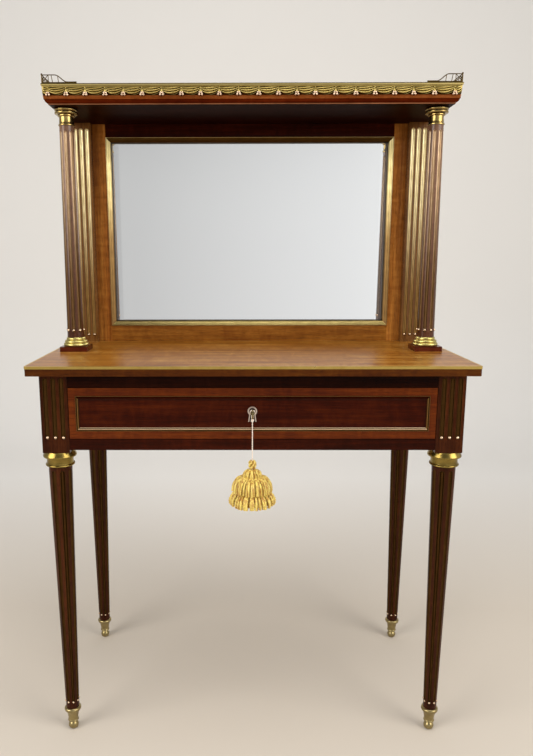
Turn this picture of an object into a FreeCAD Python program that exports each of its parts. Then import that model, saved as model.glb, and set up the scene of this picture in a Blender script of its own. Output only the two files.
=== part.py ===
"""A dressing table of mahogany and brass, in millimetres.

The table stands on four turned and fluted legs and holds one locking drawer. A mirror
in a framed back, two pilasters and two fluted columns carry a small shelf with a
pierced gallery. +Z is up, the front faces -Y, and the origin lies on the floor under
the middle of the table.
"""

import math
import os

import FreeCAD
import Part

os.makedirs("parts", exist_ok=True)

# Table as a whole
table_height = 750.0
top_length = 811.0
top_depth = 425.0
top_thickness = 18.0
top_overhang = 20.5
top_corner_radius = 5.0
edge_brass_height = 5.0
edge_brass_width = 3.2
edge_brass_proud = 0.8

# Frieze under the top
frieze_height = 141.0
top_rail_height = 24.0
bottom_rail_height = 20.5
rail_depth = 31.0
rail_setback = 1.0
apron_thickness = 20.0
tenon_thickness = 8.0
tenon_length = 20.0
tenon_shoulder = 5.0

# Legs
leg_block = 50.0
block_drop = 5.5
leg_top_radius = 21.8
leg_toe_radius = 12.9
leg_flutes = 8
leg_flute_top_margin = 8.0
leg_flute_toe_margin = 12.0

# Turned pieces are drawn with flat sides, to keep their facets few
turned_sides = 14
bow_sides = 16
quarter_turn = 90.0

# Brass-lined flutes, one pattern at every size
flute_width_share = 0.52
flute_face_share = 0.62
flute_floor_share = 0.55
flute_depth_share = 0.62
flute_tip_share = 0.9
flute_overrun = 1.0
flute_brass = 0.9

# Flutes on the corner blocks
block_flutes = 3
block_flute_pitch = 14.7
block_flute_width = 8.6
block_flute_top_margin = 25.0
block_flute_foot_margin = 20.0

# Brass collar under each corner block
collar_height = 28.5
collar_fit = 0.1
collar_ring_radius = 31.0
collar_ring_height = 11.5
collar_top_radius = 27.0
collar_ring_widest_share = 0.25
collar_ring_foot_share = 0.95
collar_neck_radius = 24.6
collar_bead_radius = 27.0
collar_bead_height = 5.5
collar_bead_round = 1.6

# Brass shoe on each foot
sabot_height = 49.0
sabot_ring_radius = 16.3
sabot_ring_height = 8.0
sabot_ring_round = 2.0
sabot_cup_top_radius = 12.6
sabot_cup_toe_radius = 9.6
sabot_bead_radius = 10.6
sabot_bead_height = 3.4
sabot_neck_radius = 5.6
sabot_neck_height = 2.0
toupie_radius = 10.0
toupie_height = 15.6
toupie_flat_share = 0.34
toupie_steps = 4
sabot_bore_radius = 7.6
sabot_bore_depth = 24.0
sabot_fit = 0.1
sabot_end_gap = 0.3
sabot_sides = 12

# Columns
column_setback = 192.0
superstructure_height = 472.5
plinth_side = 55.0
plinth_height = 10.0
column_base_height = 18.0
column_base_tiers = 3
column_base_radius = 25.0
column_base_middle_radius = 22.6
column_base_top_radius = 18.6
column_base_round = 1.8
column_foot_radius = 17.1
column_head_radius = 14.3
column_flutes = 8
column_flute_foot_margin = 13.0
column_flute_head_margin = 10.0
column_tenon_radius = 10.0
column_tenon_fit = 0.1
column_head_tenon_radius = 7.5
column_head_tenon_length = 22.0

# Capitals
capital_height = 32.5
abacus_radius = 22.1
abacus_bead_height = 5.0
abacus_groove_radius = 20.6
abacus_groove_height = 1.2
abacus_round = 1.6
capital_bead_radius = 16.6
capital_bead_height = 3.4
capital_neck_top_radius = 13.6
capital_neck_radius = 14.6
capital_foot_radius = 15.8
capital_foot_height = 3.0

# Pilasters beside the mirror
pilaster_width = 42.0
pilaster_depth = 48.0
pilaster_side_inset = 0.5
pilaster_back_inset = 5.0
pilaster_flutes = 3
pilaster_flute_pitch = 12.4
pilaster_flute_width = 7.6
pilaster_flute_top_margin = 11.5
pilaster_flute_foot_margin = 13.0

# Mirror frame
mirror_back_inset = 13.0
mirror_frame_thickness = 22.0
stile_width = 28.0
mirror_bottom_rail = 35.0
mirror_top_rail = 27.0
mirror_tenon_length = 18.0
mirror_tenon_thickness = 6.0
mirror_tenon_shoulder = 6.0
glass_rebate = 8.0
glass_thickness = 4.0
backboard_thickness = 6.0
mirror_moulding_width = 12.0
mirror_moulding_proud = 3.5
mirror_moulding_step = 4.5
mirror_moulding_lip = 3.0

# Shelf over the mirror
shelf_height = 36.0
shelf_side_inset = 1.0
shelf_nose = 36.0
shelf_strip_height = 4.0
shelf_strip_proud = 10.5
swag_band_height = 17.5
swag_band_proud = 9.5
fascia_proud = 7.2
fascia_height = 6.0
shelf_fillet_height = 2.2
shelf_fillet_proud = 0.4
shelf_ovolo_step = 1.2
shelf_ovolo_steps = 4

# Pierced gallery round the shelf
gallery_height = 16.0
gallery_thickness = 1.5
gallery_inset = 1.5
gallery_back_inset = 1.0
gallery_foot_rail = 2.6
gallery_top_rail = 2.0
gallery_bar = 1.7
gallery_pitch = 11.0
gallery_return_flat = 25.0
gallery_return_ramp = 22.0
gallery_return_tail = 18.0
gallery_tail_height = 3.0
gallery_ramp_steps = 6

# Drawer
drawer_gap = 1.0
drawer_top_gap = 2.0
drawer_front_thickness = 20.0
drawer_back_gap = 22.0
drawer_side_thickness = 10.0
drawer_back_thickness = 10.0
drawer_bottom_thickness = 6.0
drawer_bottom_rise = 8.0
drawer_groove_depth = 5.0
dovetails = 3
dovetail_length = 13.0
dovetail_neck = 12.0
dovetail_flare = 2.5
drawer_moulding_margin_x = 12.6
drawer_moulding_margin_z = 14.4
drawer_moulding_width = 8.5
drawer_moulding_proud = 2.4
drawer_moulding_step = 3.6
drawer_moulding_lip = 0.9
drawer_moulding_depth = 1.6

# What carries and stops the drawer
runner_height = 20.0
runner_overlap = 18.0
guide_height = 25.0
guide_gap = 0.5
kicker_overlap = 34.0
stop_length = 40.0
stop_height = 6.0
stop_depth = 10.0
stop_x = 200.0

# Lock, key and keyhole
key_height = 53.0
keyhole_radius = 3.6
keyhole_slot = 3.4
keyhole_reach = 11.4
lock_plate_half_length = 28.0
lock_half_length = 19.0
lock_drop = 18.0
lock_case_drop = 14.0
lock_depth = 9.0
lock_wall = 1.5
lock_clearance = 0.3
lock_pin_radius = 1.2
bolt_half_length = 9.0
bolt_height = 26.0
bolt_thickness = 4.0
bolt_throw = 7.0
bolt_clearance = 0.3
bolt_rest_gap = 0.2
mortise_clearance = 1.5
key_shank_radius = 2.5
key_barrel_fit = 0.1
key_barrel_depth = 9.0
key_bit_reach = 10.5
key_bit_thickness = 2.0
key_bit_length = 4.0
key_bit_clearance = 0.8
key_bit_root = 0.4
key_out = 17.0
key_collar_radius = 4.0
key_collar_length = 1.6
key_bow_radius = 9.0
key_bow_hole_radius = 5.6
key_bow_thickness = 3.0
escutcheon_thickness = 1.6
escutcheon_radius = 8.7
escutcheon_hole_radius = 5.4
escutcheon_slot = 4.8
escutcheon_drop = 19.6
escutcheon_waist = 9.4
escutcheon_skirt = 15.0
escutcheon_slot_drop = 13.0
lock_screw_inset = 4.5
lock_screw_head_radius = 2.8
lock_screw_head_height = 1.3
lock_screw_shank_radius = 1.3
lock_screw_length = 12.0
lock_screw_sides = 8

# Cord and tassel on the key
cord_radius = 1.3
cord_loop_fit = 0.1
cord_y = -201.5
cord_drop = 88.0
cord_sides = 6
cord_loop_sides = 16
tassel_knot_radius = 8.3
tassel_knot_height = 18.5
tassel_neck_radius = 4.4
tassel_neck_height = 1.5
tassel_ruff_radius = 15.6
tassel_ruff_height = 13.5
tassel_upper_radius = 37.0
tassel_upper_height = 33.0
tassel_lower_radius = 42.0
tassel_lower_height = 18.5
tassel_waist_radius = 31.0
tassel_ruff_shares = ((0.7, 0.25), (1, 0.65))
tassel_upper_shares = ((0.72, 0), (0.89, 0.24), (0.96, 0.55), (1, 0.94))
tassel_lower_shares = ((0.9, 0.55), (1, 0.92))

# Points closer than this are one point
coincident = 0.0001

# Planes and heights that follow from the sizes above
frieze_half_x = top_length / 2 - top_overhang
frieze_half_y = top_depth / 2 - top_overhang
rail_front_y = -frieze_half_y + rail_setback
rail_back_y = rail_front_y + rail_depth
apron_back_y = frieze_half_y - rail_setback
apron_inner_y = apron_back_y - apron_thickness
apron_outer_x = frieze_half_x - rail_setback
apron_inner_x = apron_outer_x - apron_thickness
leg_x = frieze_half_x - leg_block / 2
leg_y = frieze_half_y - leg_block / 2
block_inner_x = frieze_half_x - leg_block
block_inner_y = frieze_half_y - leg_block
top_under = table_height - top_thickness
frieze_bottom = top_under - frieze_height
block_bottom = frieze_bottom - block_drop
opening_top = top_under - top_rail_height
opening_bottom = frieze_bottom + bottom_rail_height
shaft_top = block_bottom - collar_height
column_x = leg_x
column_y = frieze_half_y - column_setback
pilaster_front_y = frieze_half_y - pilaster_back_inset - pilaster_depth
mirror_frame_half_length = frieze_half_x - pilaster_side_inset - pilaster_width
mirror_front_y = frieze_half_y - mirror_back_inset - mirror_frame_thickness
shelf_under = table_height + superstructure_height
shelf_top = shelf_under + shelf_height
shelf_half_length = frieze_half_x - shelf_side_inset
shelf_front_y = column_y - shelf_nose
shelf_back_y = frieze_half_y
drawer_half_x = block_inner_x - drawer_gap
drawer_front_bottom = opening_bottom + drawer_gap
drawer_front_top = opening_top - drawer_gap
drawer_inner_y = rail_front_y + drawer_front_thickness
drawer_back_y = apron_inner_y - drawer_back_gap
drawer_side_top = opening_top - drawer_top_gap
key_z = opening_bottom + key_height
lock_top = drawer_front_top
lock_bottom = key_z - lock_drop
lock_front_y = drawer_inner_y - lock_depth
lock_middle_y = (lock_front_y + drawer_inner_y) / 2


def point(x, y, z):
    return FreeCAD.Vector(x, y, z)


def box(x0, x1, y0, y1, z0, z1):
    return Part.makeBox(x1 - x0, y1 - y0, z1 - z0, point(x0, y0, z0))


def joined(shapes):
    """One solid of several that touch or overlap."""
    whole = shapes[0].fuse(shapes[1:]) if len(shapes) > 1 else shapes[0]
    return whole.removeSplitter()


def group(shapes):
    """Separate solids that share one node."""
    return Part.makeCompound([solid for shape in shapes for solid in shape.Solids])


def mirrored(shape):
    return shape.mirror(point(0, 0, 0), point(1, 0, 0))


def polygon_face(points):
    return Part.Face(Part.makePolygon(points + points[:1]))


def closed_solid(polygons):
    """The solid inside a set of flat polygons that meet edge to edge."""
    shell = Part.makeShell([polygon_face(points) for points in polygons])
    shell.sewShape()
    solid = Part.makeSolid(shell)
    return solid if solid.Volume > 0 else solid.reversed()


def skin(stations, closed=False):
    """A solid through equal polygons, mitred at each one, and round again if closed."""
    count = len(stations[0])
    pairs = list(zip(stations, stations[1:]))
    if closed:
        pairs.append((stations[-1], stations[0]))
    polygons = [
        [near[i], near[(i + 1) % count], far[(i + 1) % count], far[i]]
        for near, far in pairs
        for i in range(count)
    ]
    if not closed:
        polygons += [list(reversed(stations[0])), list(stations[-1])]
    return closed_solid(polygons)


def even_angles(sides):
    return [2 * math.pi * index / sides for index in range(sides)]


def turned(profile, x=0, y=0, angles=None):
    """A turned piece from (radius, height) points, as flat sides between the angles."""
    angles = angles or even_angles(turned_sides)
    centre = point(x, y, 0)
    polygons = []
    for near, far in zip(angles, angles[1:] + angles[:1]):
        for (radius, height), (next_radius, next_height) in zip(profile, profile[1:] + profile[:1]):
            ring = []
            for out, up, angle in (
                (radius, height, near),
                (next_radius, next_height, near),
                (next_radius, next_height, far),
                (radius, height, far),
            ):
                corner = centre + point(out * math.cos(angle), out * math.sin(angle), up)
                if not any(corner.isEqual(other, coincident) for other in ring):
                    ring.append(corner)
            if len(ring) > 2:
                polygons.append(ring)
    return closed_solid(polygons).removeSplitter()


def round_it(radius, sides=turned_sides):
    """The corner radius of a flat-sided hole that clears a round of this radius."""
    return radius / math.cos(math.pi / sides)


def disc(radius, start, direction, length, sides=bow_sides):
    """A flat-sided disc with its axis along X or Y."""
    side = direction.cross(point(0, 0, 1))
    ring = [
        start + side * (radius * math.cos(angle)) + point(0, 0, radius * math.sin(angle))
        for angle in even_angles(sides)
    ]
    return polygon_face(ring).extrude(direction * length)


def rounded_band(radius, bottom, top, corner):
    """The outer points of a ring whose two edges are eased, from its foot up."""
    return [
        (radius - corner, bottom),
        (radius, bottom + corner),
        (radius, top - corner),
        (radius - corner, top),
    ]


def eased_band(radius, bottom, top, corner):
    """The outer points of a ring whose upper edge is eased, from its foot up."""
    return [(radius, bottom), (radius, top - corner), (radius - corner, top)]


def pointed_band(radius, bottom, top, corner):
    """The outer points of a small bead with one ridge, from its foot up."""
    return [(radius - corner, bottom), (radius, (bottom + top) / 2), (radius - corner, top)]


def flute_void(foot, head, outward, across, half_foot, half_head):
    """A tapering channel under the line from foot to head, with a point at each end."""
    along = (head - foot).normalize()

    def section(centre, half):
        floor = half * flute_floor_share
        depth = outward * (half * 2 * flute_depth_share)
        return [
            centre - across * half,
            centre - across * floor - depth,
            centre + across * floor - depth,
            centre + across * half,
        ]

    low = section(foot, half_foot)
    high = section(head, half_head)
    low_tip = foot - along * (half_foot * 2 * flute_tip_share)
    high_tip = head + along * (half_head * 2 * flute_tip_share)
    mouth = [low_tip, low[3], high[3], high_tip, high[0], low[0]]
    rise = outward * flute_overrun
    lid = [corner + rise for corner in mouth]
    polygons = [
        [low[0], high[0], high[1], low[1]],
        [low[1], high[1], high[2], low[2]],
        [low[2], high[2], high[3], low[3]],
        [low[0], low[1], low_tip],
        [low[1], low[2], low_tip],
        [low[2], low[3], low_tip],
        [high[1], high[0], high_tip],
        [high[2], high[1], high_tip],
        [high[3], high[2], high_tip],
        lid,
    ]
    for index in range(len(mouth)):
        after = (index + 1) % len(mouth)
        polygons.append([mouth[index], mouth[after], lid[after], lid[index]])
    return closed_solid(polygons)


def flute_pair(foot, head, outward, across, half_foot, half_head):
    """The void that the wood loses, and the void left inside its brass lining."""
    outer = flute_void(foot, head, outward, across, half_foot, half_head)
    inner = flute_void(
        foot, head, outward, across, half_foot - flute_brass, half_head - flute_brass
    )
    return outer, inner


def lined(blank, pairs):
    """The blank with its flutes cut, and one brass lining for each flute."""
    linings = [outer.common(blank).cut(inner) for outer, inner in pairs]
    wood = blank.cut([outer for outer, _ in pairs])
    return wood, linings


def shaft_angles(count):
    """The corners of a shaft with a flat face for each flute and a land between two."""
    half_face = math.pi / count * flute_face_share
    angles = []
    for index in range(count):
        middle = 2 * math.pi * (index + 0.5) / count
        angles += [middle - half_face, middle + half_face]
    return angles


def shaft_flutes(foot_z, foot_radius, head_z, head_radius, low_tip, high_tip, count):
    """Flutes in the flat faces of a tapered shaft that stands on the origin's axis."""
    flat = math.cos(math.pi / count * flute_face_share)

    def radius_at(z):
        share = (z - foot_z) / (head_z - foot_z)
        return foot_radius + share * (head_radius - foot_radius)

    def half_at(z):
        return math.pi * radius_at(z) / count * flute_width_share

    low_z = low_tip + half_at(low_tip) * 2 * flute_tip_share
    high_z = high_tip - half_at(high_tip) * 2 * flute_tip_share
    pairs = []
    for index in range(count):
        angle = 2 * math.pi * (index + 0.5) / count
        outward = point(math.cos(angle), math.sin(angle), 0)
        across = point(-math.sin(angle), math.cos(angle), 0)
        foot = outward * (radius_at(low_z) * flat) + point(0, 0, low_z)
        head = outward * (radius_at(high_z) * flat) + point(0, 0, high_z)
        pairs.append(flute_pair(foot, head, outward, across, half_at(low_z), half_at(high_z)))
    return pairs


def flat_flutes(centre, across, outward, count, pitch, width, low_z, high_z):
    """Upright flutes side by side on a flat face through centre."""
    tip = width * flute_tip_share
    pairs = []
    for index in range(count):
        line = centre + across * ((index - (count - 1) / 2) * pitch)
        foot = point(line.x, line.y, low_z + tip)
        head = point(line.x, line.y, high_z - tip)
        pairs.append(flute_pair(foot, head, outward, across, width / 2, width / 2))
    return pairs


def save(node, shape):
    shape.exportStep(os.path.join("parts", node + ".step"))


def rounded_slab(half_x, front_y, back_y, z0, z1, radius):
    """A slab whose two front corners are rounded in plan."""
    slab = box(-half_x, half_x, front_y, back_y, z0, z1)
    corners = [
        edge
        for edge in slab.Edges
        if abs(edge.Vertexes[0].X - edge.Vertexes[1].X) < radius
        and abs(edge.Vertexes[0].Y - edge.Vertexes[1].Y) < radius
        and edge.Vertexes[0].Y < (front_y + back_y) / 2
    ]
    return slab.makeFillet(radius, corners)


def make_top():
    half = top_length / 2
    deep = top_depth / 2
    seam = table_height - edge_brass_height
    lower = rounded_slab(
        half - edge_brass_proud,
        -deep + edge_brass_proud,
        deep,
        top_under,
        seam,
        top_corner_radius - edge_brass_proud,
    )
    core_radius = top_corner_radius - edge_brass_width
    upper = rounded_slab(
        half - edge_brass_width, -deep + edge_brass_width, deep, seam, table_height, core_radius
    )
    save("table_top", joined([lower, upper]))
    edge = rounded_slab(half, -deep, deep, seam, table_height, top_corner_radius)
    save("table_top_brass_edge", edge.cut(upper))


def rail_tenons():
    """The tenons of the rails and aprons, by the piece that carries them."""
    cheek = tenon_thickness / 2
    front_y = rail_front_y + apron_thickness / 2
    back_y = apron_back_y - apron_thickness / 2
    side_x = apron_outer_x - apron_thickness / 2
    low = frieze_bottom + tenon_shoulder
    high = top_under - tenon_shoulder
    reach_x = block_inner_x + tenon_length
    reach_y = block_inner_y + tenon_length
    tenons = {}

    def across(name, y, z0, z1):
        right = box(block_inner_x, reach_x, y - cheek, y + cheek, z0, z1)
        tenons[name] = [right, mirrored(right)]

    across("front_top_rail", front_y, opening_top + tenon_shoulder, high)
    across("front_bottom_rail", front_y, low, opening_bottom - tenon_shoulder)
    across("back_apron", back_y, low, high)
    for name, sign in (("side_apron_left", -1), ("side_apron_right", 1)):
        middle = sign * side_x
        tenons[name] = [
            box(middle - cheek, middle + cheek, -reach_y, -block_inner_y, low, high),
            box(middle - cheek, middle + cheek, block_inner_y, reach_y, low, high),
        ]
    return tenons


def make_frieze(tenons, bolt_mortise):
    top_rail = box(
        -block_inner_x, block_inner_x, rail_front_y, rail_back_y, opening_top, top_under
    )
    save("front_top_rail", joined([top_rail] + tenons["front_top_rail"]).cut(bolt_mortise))
    bottom_rail = box(
        -block_inner_x, block_inner_x, rail_front_y, rail_back_y, frieze_bottom, opening_bottom
    )
    save("front_bottom_rail", joined([bottom_rail] + tenons["front_bottom_rail"]))
    back = box(
        -block_inner_x, block_inner_x, apron_inner_y, apron_back_y, frieze_bottom, top_under
    )
    save("back_apron", joined([back] + tenons["back_apron"]))
    side = box(
        apron_inner_x, apron_outer_x, -block_inner_y, block_inner_y, frieze_bottom, top_under
    )
    save("side_apron_right", joined([side] + tenons["side_apron_right"]))
    save("side_apron_left", joined([mirrored(side)] + tenons["side_apron_left"]))


def leg_blank():
    """One leg under its block, turned round the origin's axis."""
    tenon_foot = sabot_height - sabot_bore_depth + sabot_end_gap
    tenon_radius = sabot_bore_radius - sabot_fit
    return turned(
        [
            (0, tenon_foot),
            (tenon_radius, tenon_foot),
            (tenon_radius, sabot_height),
            (leg_toe_radius, sabot_height),
            (leg_top_radius, shaft_top),
            (leg_top_radius, block_bottom),
            (0, block_bottom),
        ],
        angles=shaft_angles(leg_flutes),
    )


def make_legs(tenons):
    """Four legs: a square block with flutes on its outer faces, and a fluted shaft."""
    shaft_pairs = shaft_flutes(
        sabot_height,
        leg_toe_radius,
        shaft_top,
        leg_top_radius,
        sabot_height + leg_flute_toe_margin,
        shaft_top - leg_flute_top_margin,
        leg_flutes,
    )
    shaft, shaft_linings = lined(leg_blank(), shaft_pairs)
    cutters = [tenon for pair in tenons.values() for tenon in pair]
    half = leg_block / 2
    low = frieze_bottom + block_flute_foot_margin
    high = top_under - block_flute_top_margin
    linings = []
    for name, sx, sy in (
        ("front_left", -1, -1),
        ("front_right", 1, -1),
        ("rear_left", -1, 1),
        ("rear_right", 1, 1),
    ):
        x, y = sx * leg_x, sy * leg_y
        block = box(x - half, x + half, y - half, y + half, block_bottom, top_under)
        faces = [(point(x + sx * half, y, 0), point(0, 1, 0), point(sx, 0, 0))]
        if sy < 0:
            faces.append((point(x, y - half, 0), point(1, 0, 0), point(0, -1, 0)))
        pairs = []
        for centre, across, outward in faces:
            pairs += flat_flutes(
                centre,
                across,
                outward,
                block_flutes,
                block_flute_pitch,
                block_flute_width,
                low,
                high,
            )
        wood, block_linings = lined(block, pairs)
        place = point(x, y, 0)
        save("leg_" + name, joined([wood, shaft.translated(place)]).cut(cutters))
        linings += block_linings + [lining.translated(place) for lining in shaft_linings]
        make_collar(name, x, y)
        make_sabot(name, x, y)
    save("leg_flute_brass", group(linings))


def make_collar(name, x, y):
    """The brass collar: a broad ring against the block, a neck and a bead."""
    ring_bottom = block_bottom - collar_ring_height
    widest = ring_bottom + collar_ring_height * collar_ring_widest_share
    bead_top = shaft_top + collar_bead_height
    bore = round_it(leg_top_radius + collar_fit)
    profile = [(bore, shaft_top)]
    profile += pointed_band(collar_bead_radius, shaft_top, bead_top, collar_bead_round)
    profile += [
        (collar_neck_radius, bead_top),
        (collar_neck_radius, ring_bottom),
        (collar_ring_radius * collar_ring_foot_share, ring_bottom),
        (collar_ring_radius, widest),
        ((collar_ring_radius + collar_top_radius) / 2, (widest + block_bottom) / 2),
        (collar_top_radius, block_bottom),
        (bore, block_bottom),
    ]
    save("leg_collar_" + name, turned(profile, x, y))


def make_sabot(name, x, y):
    """The brass shoe: a flared ring, a tapered cup, a bead, a neck and a ball foot."""
    ring_bottom = sabot_height - sabot_ring_height
    neck_top = toupie_height + sabot_neck_height
    bead_top = neck_top + sabot_bead_height
    bore = round_it(sabot_bore_radius, sabot_sides)
    bore_bottom = sabot_height - sabot_bore_depth
    middle = toupie_height / 2
    low = -math.acos(toupie_flat_share)
    high = math.acos(sabot_neck_radius / toupie_radius)
    ball = []
    for index in range(toupie_steps + 1):
        angle = low + (high - low) * index / toupie_steps
        height = middle + middle * math.sin(angle) / math.sin(-low if angle < 0 else high)
        ball.append((toupie_radius * math.cos(angle), height))
    profile = [(0, 0)] + ball
    profile += [(sabot_bead_radius, neck_top), (sabot_bead_radius, bead_top)]
    profile += [(sabot_cup_toe_radius, bead_top), (sabot_cup_top_radius, ring_bottom)]
    profile += rounded_band(sabot_ring_radius, ring_bottom, sabot_height, sabot_ring_round)
    profile += [(bore, sabot_height), (bore, bore_bottom), (0, bore_bottom)]
    save("foot_sabot_" + name, turned(profile, x, y, even_angles(sabot_sides)))


def make_columns():
    """Each column: plinth, turned base, fluted shaft with two tenons, and capital."""
    plinth_top = table_height + plinth_height
    shaft_foot = plinth_top + column_base_height
    shaft_head = shelf_under - capital_height
    bore = round_it(column_tenon_radius + column_tenon_fit)
    half = plinth_side / 2

    plinth = box(-half, half, -half, half, table_height, plinth_top)
    hole = [(0, table_height), (bore, table_height), (bore, plinth_top), (0, plinth_top)]
    plinth = plinth.cut(turned(hole))

    tier = column_base_height / column_base_tiers
    profile = [(bore, plinth_top)]
    radii = (column_base_radius, column_base_middle_radius, column_base_top_radius)
    for index, radius in enumerate(radii):
        bottom = plinth_top + index * tier
        profile += eased_band(radius, bottom, bottom + tier, column_base_round)
    profile += [(bore, shaft_foot)]
    base = turned(profile)

    blank = turned(
        [
            (0, table_height),
            (column_tenon_radius, table_height),
            (column_tenon_radius, shaft_foot),
            (column_foot_radius, shaft_foot),
            (column_head_radius, shaft_head),
            (column_head_tenon_radius, shaft_head),
            (column_head_tenon_radius, shaft_head + column_head_tenon_length),
            (0, shaft_head + column_head_tenon_length),
        ],
        angles=shaft_angles(column_flutes),
    )
    pairs = shaft_flutes(
        shaft_foot,
        column_foot_radius,
        shaft_head,
        column_head_radius,
        shaft_foot + column_flute_foot_margin,
        shaft_head - column_flute_head_margin,
        column_flutes,
    )
    shaft, linings = lined(blank, pairs)
    capital = make_capital(shaft_head)

    for side, sign in (("left", -1), ("right", 1)):
        place = point(sign * column_x, column_y, 0)
        save("column_plinth_" + side, plinth.translated(place))
        save("column_base_" + side, base.translated(place))
        save("column_shaft_" + side, shaft.translated(place))
        save("column_capital_" + side, capital.translated(place))
    both = [
        lining.translated(point(sign * column_x, column_y, 0))
        for sign in (-1, 1)
        for lining in linings
    ]
    save("column_flute_brass", group(both))


def make_capital(foot):
    """The brass capital: a foot ring, a tapered neck, a bead and a double abacus."""
    bore = round_it(column_head_tenon_radius + column_tenon_fit)
    bore_top = foot + column_head_tenon_length + column_tenon_fit
    foot_top = foot + capital_foot_height
    lower_abacus = shelf_under - 2 * abacus_bead_height - abacus_groove_height
    bead_bottom = lower_abacus - capital_bead_height
    profile = [(bore, foot)]
    profile += eased_band(capital_foot_radius, foot, foot_top, capital_foot_height / 3)
    profile += [(capital_neck_radius, foot_top), (capital_neck_top_radius, bead_bottom)]
    profile += pointed_band(
        capital_bead_radius, bead_bottom, lower_abacus, capital_bead_height / 3
    )
    groove = lower_abacus + abacus_bead_height
    profile += rounded_band(abacus_radius, lower_abacus, groove, abacus_round)
    upper_abacus = groove + abacus_groove_height
    profile += [(abacus_groove_radius, groove), (abacus_groove_radius, upper_abacus)]
    profile += rounded_band(abacus_radius, upper_abacus, shelf_under, abacus_round)
    profile += [(0, shelf_under), (0, bore_top), (bore, bore_top)]
    return turned(profile)


def make_pilasters():
    inner = mirror_frame_half_length
    outer = inner + pilaster_width
    back = pilaster_front_y + pilaster_depth
    blank = box(inner, outer, pilaster_front_y, back, table_height, shelf_under)
    pairs = flat_flutes(
        point((inner + outer) / 2, pilaster_front_y, 0),
        point(1, 0, 0),
        point(0, -1, 0),
        pilaster_flutes,
        pilaster_flute_pitch,
        pilaster_flute_width,
        table_height + pilaster_flute_foot_margin,
        shelf_under - pilaster_flute_top_margin,
    )
    wood, linings = lined(blank, pairs)
    save("pilaster_right", wood)
    save("pilaster_left", mirrored(wood))
    both = linings + [mirrored(lining) for lining in linings]
    save("pilaster_flute_brass", group(both))


def rectangle(half_x, z0, z1, y, inset):
    """Corner points of an upright rectangle, drawn in from its four sides."""
    x = half_x - inset
    return [(-x, y, z0 + inset), (x, y, z0 + inset), (x, y, z1 - inset), (-x, y, z1 - inset)]


def mitred_frame(half_x, z0, z1, profile):
    """A picture-frame moulding: profile holds (inset, y) points of its section."""
    rings = [rectangle(half_x, z0, z1, y, inset) for inset, y in profile]
    stations = [[point(*ring[corner]) for ring in rings] for corner in range(4)]
    return skin(stations, closed=True)


def make_mirror():
    """The mirror in its tenoned frame, with a stepped brass moulding in front."""
    outer = mirror_frame_half_length
    sight = outer - stile_width
    front = mirror_front_y
    back = front + mirror_frame_thickness
    low = table_height + mirror_bottom_rail
    high = shelf_under - mirror_top_rail
    board_y = back - backboard_thickness
    glass_y = board_y - glass_thickness
    rebate_x = sight + glass_rebate

    def plate(y0, y1):
        return box(-rebate_x, rebate_x, y0, y1, low - glass_rebate, high + glass_rebate)

    glass = plate(glass_y, board_y)
    board = plate(board_y, back)
    stile = box(sight, outer, front, back, table_height, shelf_under)
    middle = front + (glass_y - front) / 2
    cheek = mirror_tenon_thickness / 2

    def rail(z0, z1):
        body = box(-sight, sight, front, back, z0, z1)
        reach = sight + mirror_tenon_length
        low_z = z0 + mirror_tenon_shoulder
        high_z = z1 - mirror_tenon_shoulder
        tenon = box(-reach, reach, middle - cheek, middle + cheek, low_z, high_z)
        return joined([body, tenon]).cut([glass, board])

    bottom_rail = rail(table_height, low)
    top_rail = rail(high, shelf_under)
    right = stile.cut([glass, board, bottom_rail, top_rail])
    left = mirrored(stile).cut([glass, board, bottom_rail, top_rail])
    save("mirror_rail_bottom", bottom_rail)
    save("mirror_rail_top", top_rail)
    save("mirror_stile_right", right)
    save("mirror_stile_left", left)
    save("mirror_glass", glass)
    save("mirror_backboard", board)

    proud = front - mirror_moulding_proud
    profile = [
        (0, proud),
        (mirror_moulding_step, proud),
        (mirror_moulding_step, front),
        (mirror_moulding_width - mirror_moulding_lip, front + mirror_moulding_lip),
        (mirror_moulding_width, glass_y - mirror_moulding_lip),
        (mirror_moulding_width, glass_y),
        (0, glass_y),
    ]
    save("mirror_moulding", mitred_frame(sight, low, high, profile))


def shelf_plan(proud, z):
    """The shelf's outline at one height: square at the back, proud on three sides."""
    x = shelf_half_length + proud
    y = shelf_front_y - proud
    return [
        point(-x, y, z),
        point(x, y, z),
        point(x, shelf_back_y, z),
        point(-x, shelf_back_y, z),
    ]


def shelf_moulding(profile):
    """A moulding on the shelf's front and two sides, mitred at its corners."""
    plans = [shelf_plan(proud, z) for proud, z in profile]
    return skin([[plan[corner] for plan in plans] for corner in (3, 0, 1, 2)])


def make_shelf():
    """The shelf board with its moulded edge, the brass strip and the swag band."""
    ovolo_foot = shelf_under + shelf_fillet_height
    strip_foot = shelf_top - shelf_strip_height
    band_foot = strip_foot - swag_band_height
    fascia_foot = band_foot - fascia_height
    ovolo_out = fascia_proud - shelf_ovolo_step - shelf_fillet_proud
    ovolo_up = fascia_foot - ovolo_foot
    edge = [(0, shelf_under), (shelf_fillet_proud, shelf_under)]
    for index in range(shelf_ovolo_steps + 1):
        angle = math.pi / 2 * index / shelf_ovolo_steps
        out = shelf_fillet_proud + ovolo_out * math.sin(angle)
        edge.append((out, ovolo_foot + ovolo_up * (1 - math.cos(angle))))
    edge += [(fascia_proud, fascia_foot), (fascia_proud, shelf_top), (0, shelf_top)]
    half = shelf_half_length
    board = box(-half, half, shelf_front_y, shelf_back_y, shelf_under, shelf_top)
    save("shelf_board", joined([board, shelf_moulding(edge)]))

    def band(outer, z0, z1):
        return shelf_moulding([(fascia_proud, z0), (outer, z0), (outer, z1), (fascia_proud, z1)])

    save("swag_frieze", band(swag_band_proud, band_foot, strip_foot))
    save("shelf_brass_strip", band(shelf_strip_proud, strip_foot, shelf_top))


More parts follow.
